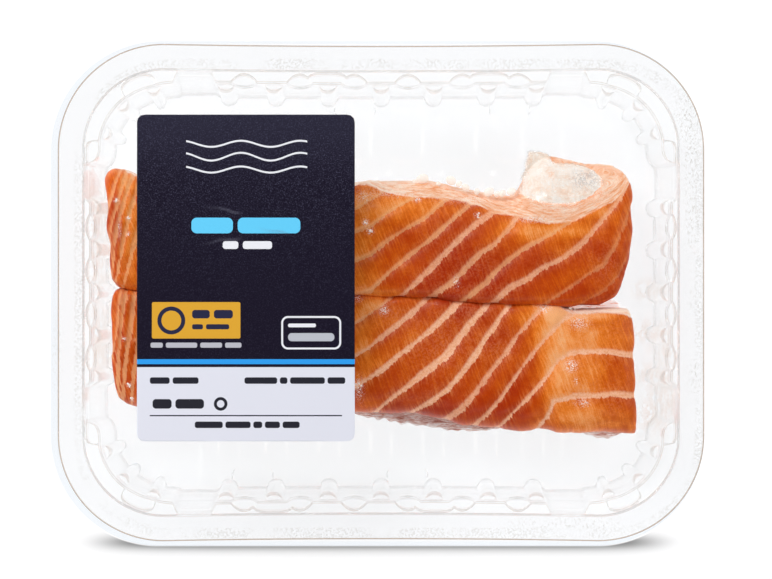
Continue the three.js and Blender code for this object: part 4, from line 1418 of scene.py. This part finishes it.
# The white belly lining on the back fillet's far slope
lining = {
    "thickness": 0.7,
    "lift": 0.42,
    "left": ((41.4, 30.2), (44.6, 42.6)),
    "nearEdge": [(41, 30.2), (47, 27), (54.6, 26.2), (61.5, 27.6), (67.4, 32.4)],
    "farEdge": [(41, 42.6), (50.4, 42.6), (52.4, 39.6), (58.2, 39.2), (63.6, 37.6), (67.4, 33.6)],
    "tones": [(0.36, (0.86, 0.62, 0.47)), (0.47, (0.91, 0.76, 0.64)), (0.58, (0.95, 0.86, 0.78))],
    # crease is painted shade in the creases of the wrinkled patch
    "wrinkled": ((58, 31.5), (65.5, 37)),
    "crease": (0.42, 0.36, 0.35),
}


def liningMesh():
    steps, rows = 110, 90
    u, v = np.meshgrid(np.linspace(0, 1, steps), np.linspace(0, 1, rows), indexing="ij")
    startX = blendOf(lining["left"][0][0], lining["left"][1][0], v)
    x = blendOf(startX, lining["nearEdge"][-1][0], u)
    y = blendOf(curveAt(lining["nearEdge"], x), curveAt(lining["farEdge"], x), v)
    toEdge = np.minimum(np.minimum(u, 1 - u), np.minimum(v, 1 - v))
    fray = 0.22 * (1 - smoothStep(toEdge, 0, 0.08))
    x, y = x + fray * ripple(x, y, 3.0, 41), y + fray * ripple(x, y, 2.6, 42)
    rest = levelOver(backFillet, x, y, -1, 0.985)
    edge = np.minimum(1, 6 * toEdge)
    fold = 0.3 * ripple(x, y, 11, 43) + 0.14 * ripple(x + y, 0.4 * y, 3.1, 44) + 0.1 * ripple(x, y, 1.3, 45)
    middle = rest + unevenness(x, y) + lining["lift"] + 0.35 * fold * edge
    half = lining["thickness"] / 2 * edge
    upper = np.stack([x, y, middle + half], -1)
    lower = np.stack([x, y, middle - half], -1)
    points = np.concatenate([upper, lower[:, ::-1]], 1)
    inside = np.concatenate([edge, edge[:, ::-1]], 1)
    return makeMesh("lining", points, gridFaces(steps, 2 * rows, True), {"inside": inside})


def liningFinish():
    white = Finish("bellyLining")
    cloud = white.noise(white.spot, 0.28, 4.0)
    speck = white.noise(white.spot, 1.9, 4.0, 0.75)
    colour = white.ramp(cloud * 0.5 + speck * 0.5, lining["tones"])
    # painted shade in the creases of the wrinkled patch
    wrinkled = white.box(white.x, white.y, *lining["wrinkled"], 2.6, 2.7)
    crease = abs(white.noise(white.point(white.x * 0.9, white.y * 0.7, white.z * 0.3), 1.0, 4.0, 0.7) - 0.5)
    colour = white.mix(wrinkled * crease.between(0.07, 0.0) * 0.8, colour, lining["crease"])
    colour = white.mix(speck.between(0.58, 0.64), colour, (1.0, 1.0, 1.0))
    fade = (white.attribute("inside") + speck * 0.6 - 0.3).between(0.05, 0.4)
    # the faint glow is painted light that brightens the lining
    surface = white.principled(
        Base_Color=colour,
        Emission_Color=colour,
        Emission_Strength=0.04,
        Roughness=0.3,
        Alpha=(cloud.between(0.3, 0.6) * 0.15 + 0.85) * fade,
        Coat_Weight=0.5,
        Coat_Roughness=0.1,
        Normal=white.bump(speck + cloud, 0.2, 0.8),
    )
    return white.done(surface, white.seeThrough())


addPiece("belly_lining_sheet", liningMesh(), liningFinish(), ["belly_lining"])

# Beads of juice: the larger ones past the back fillet's far edge, the small ones where the flesh glistens
beads = {
    "pool": [  # px, py, px across
        (422.5, 179, 13), (415, 182, 7), (451, 180.5, 11), (459, 184, 7), (465.5, 187.5, 9), (489, 192, 11),
        (497, 194, 7), (502.5, 193.5, 8), (511.5, 191.5, 10), (438, 184, 6), (477, 191.5, 7),
    ],
    "poolLevel": 19.0,
    "perSpot": 6,
    "scatter": 0.5,
    "rise": 0.2,
    "smallSizes": (0.12, 0.4),
    "flatness": 0.7,
    "detail": 3,
    "seed": 5,
}


def beadPoints():
    px, py, across = np.array(beads["pool"]).T
    x, y = onPack(px, py, beads["poolLevel"])
    points = [np.stack([x, y, np.full(len(x), beads["poolLevel"])], -1)]
    sizes = [across / 2 / view["pxPerMm"]]
    draw = np.random.RandomState(beads["seed"])
    count = beads["perSpot"]
    for fillet in (backFillet, frontFillet):
        for px, py, reachX, reachY, amount in fillet["glints"]:
            away = draw.normal(0, beads["scatter"], (2, count)) * [[reachX], [reachY]]
            x, y = onPack(px + away[0], py + away[1], lineHeight)
            z = levelOver(fillet, x, y, -0.97, 0.97) + beads["rise"]
            points.append(np.stack([x, y, z], -1))
            sizes.append(blendOf(*beads["smallSizes"], draw.rand(count) ** 2) * amount)
    return np.concatenate(points), np.concatenate(sizes)


def beadTree():
    tree = bpy.data.node_groups.new("beads", "GeometryNodeTree")
    names = ("Points", "Detail", "Flatness", "Seed", "Finish")
    for name, kind in zip(names, ("Geometry", "Int", "Float", "Int", "Material")):
        tree.interface.new_socket(name, in_out="INPUT", socket_type="NodeSocket" + kind)
    tree.interface.new_socket("Beads", in_out="OUTPUT", socket_type="NodeSocketGeometry")
    given = tree.nodes.new("NodeGroupInput")
    points, detail, flatness, seed, finish = (Wire(tree, given.outputs[name]) for name in names)
    ball = addNode(tree, "GeometryNodeMeshIcoSphere", None, {"Radius": mm, "Subdivisions": detail})
    size = addNode(tree, "GeometryNodeInputNamedAttribute", {"data_type": "FLOAT"}, {"Name": "size"})
    shape = addNode(tree, "ShaderNodeCombineXYZ", None, [1.0, 0.8, flatness])
    scale = addNode(tree, "ShaderNodeVectorMath", {"operation": "SCALE"}, {"Vector": shape, "Scale": size})
    turns = {"Min": (0.0, 0.0, 0.0), "Max": (0.3, 0.3, 2 * np.pi), "Seed": seed}
    turn = addNode(tree, "FunctionNodeRandomValue", {"data_type": "FLOAT_VECTOR"}, turns)
    placed = {"Points": points, "Instance": ball, "Rotation": turn, "Scale": scale}
    spread = addNode(tree, "GeometryNodeInstanceOnPoints", None, placed)
    joined = addNode(tree, "GeometryNodeRealizeInstances", None, [spread])
    coated = addNode(tree, "GeometryNodeSetMaterial", None, {"Geometry": joined, "Material": finish})
    output = tree.nodes.new("NodeGroupOutput")
    tree.links.new(coated.socket, output.inputs["Beads"])
    return tree


def beadMesh(finish):
    points, sizes = beadPoints()
    seeds = bpy.data.meshes.new("beadPoints")
    seeds.from_pydata((points * mm).tolist(), [], [])
    seeds.attributes.new("size", "FLOAT", "POINT").data.foreach_set("value", sizes.astype(np.float32))
    holder = bpy.data.objects.new("beadPoints", seeds)
    bpy.context.scene.collection.objects.link(holder)
    modifier = holder.modifiers.new("beads", "NODES")
    modifier.node_group = beadTree()
    values = {name.capitalize(): beads[name] for name in ("detail", "flatness", "seed")}
    values["Finish"] = finish
    for socket in modifier.node_group.interface.items_tree:
        if socket.name in values:
            modifier[socket.identifier] = values[socket.name]
    bpy.context.view_layer.update()
    mesh = bpy.data.meshes.new_from_object(holder.evaluated_get(bpy.context.evaluated_depsgraph_get()))
    holder.modifiers.remove(modifier)
    bpy.data.objects.remove(holder)
    mesh.shade_smooth()
    return mesh


def beadFinish():
    juice = Finish("juice")
    # the glow is painted light, so the beads shine like highlights
    surface = juice.principled(
        Base_Color=(1.0, 0.92, 0.84),
        Emission_Color=(1.0, 0.94, 0.88),
        Emission_Strength=0.16,
        Roughness=0.2,
        Alpha=0.6,
    )
    return juice.done(surface)


beadSurface = beadFinish()
addPiece("juice_beads", beadMesh(beadSurface), beadSurface)
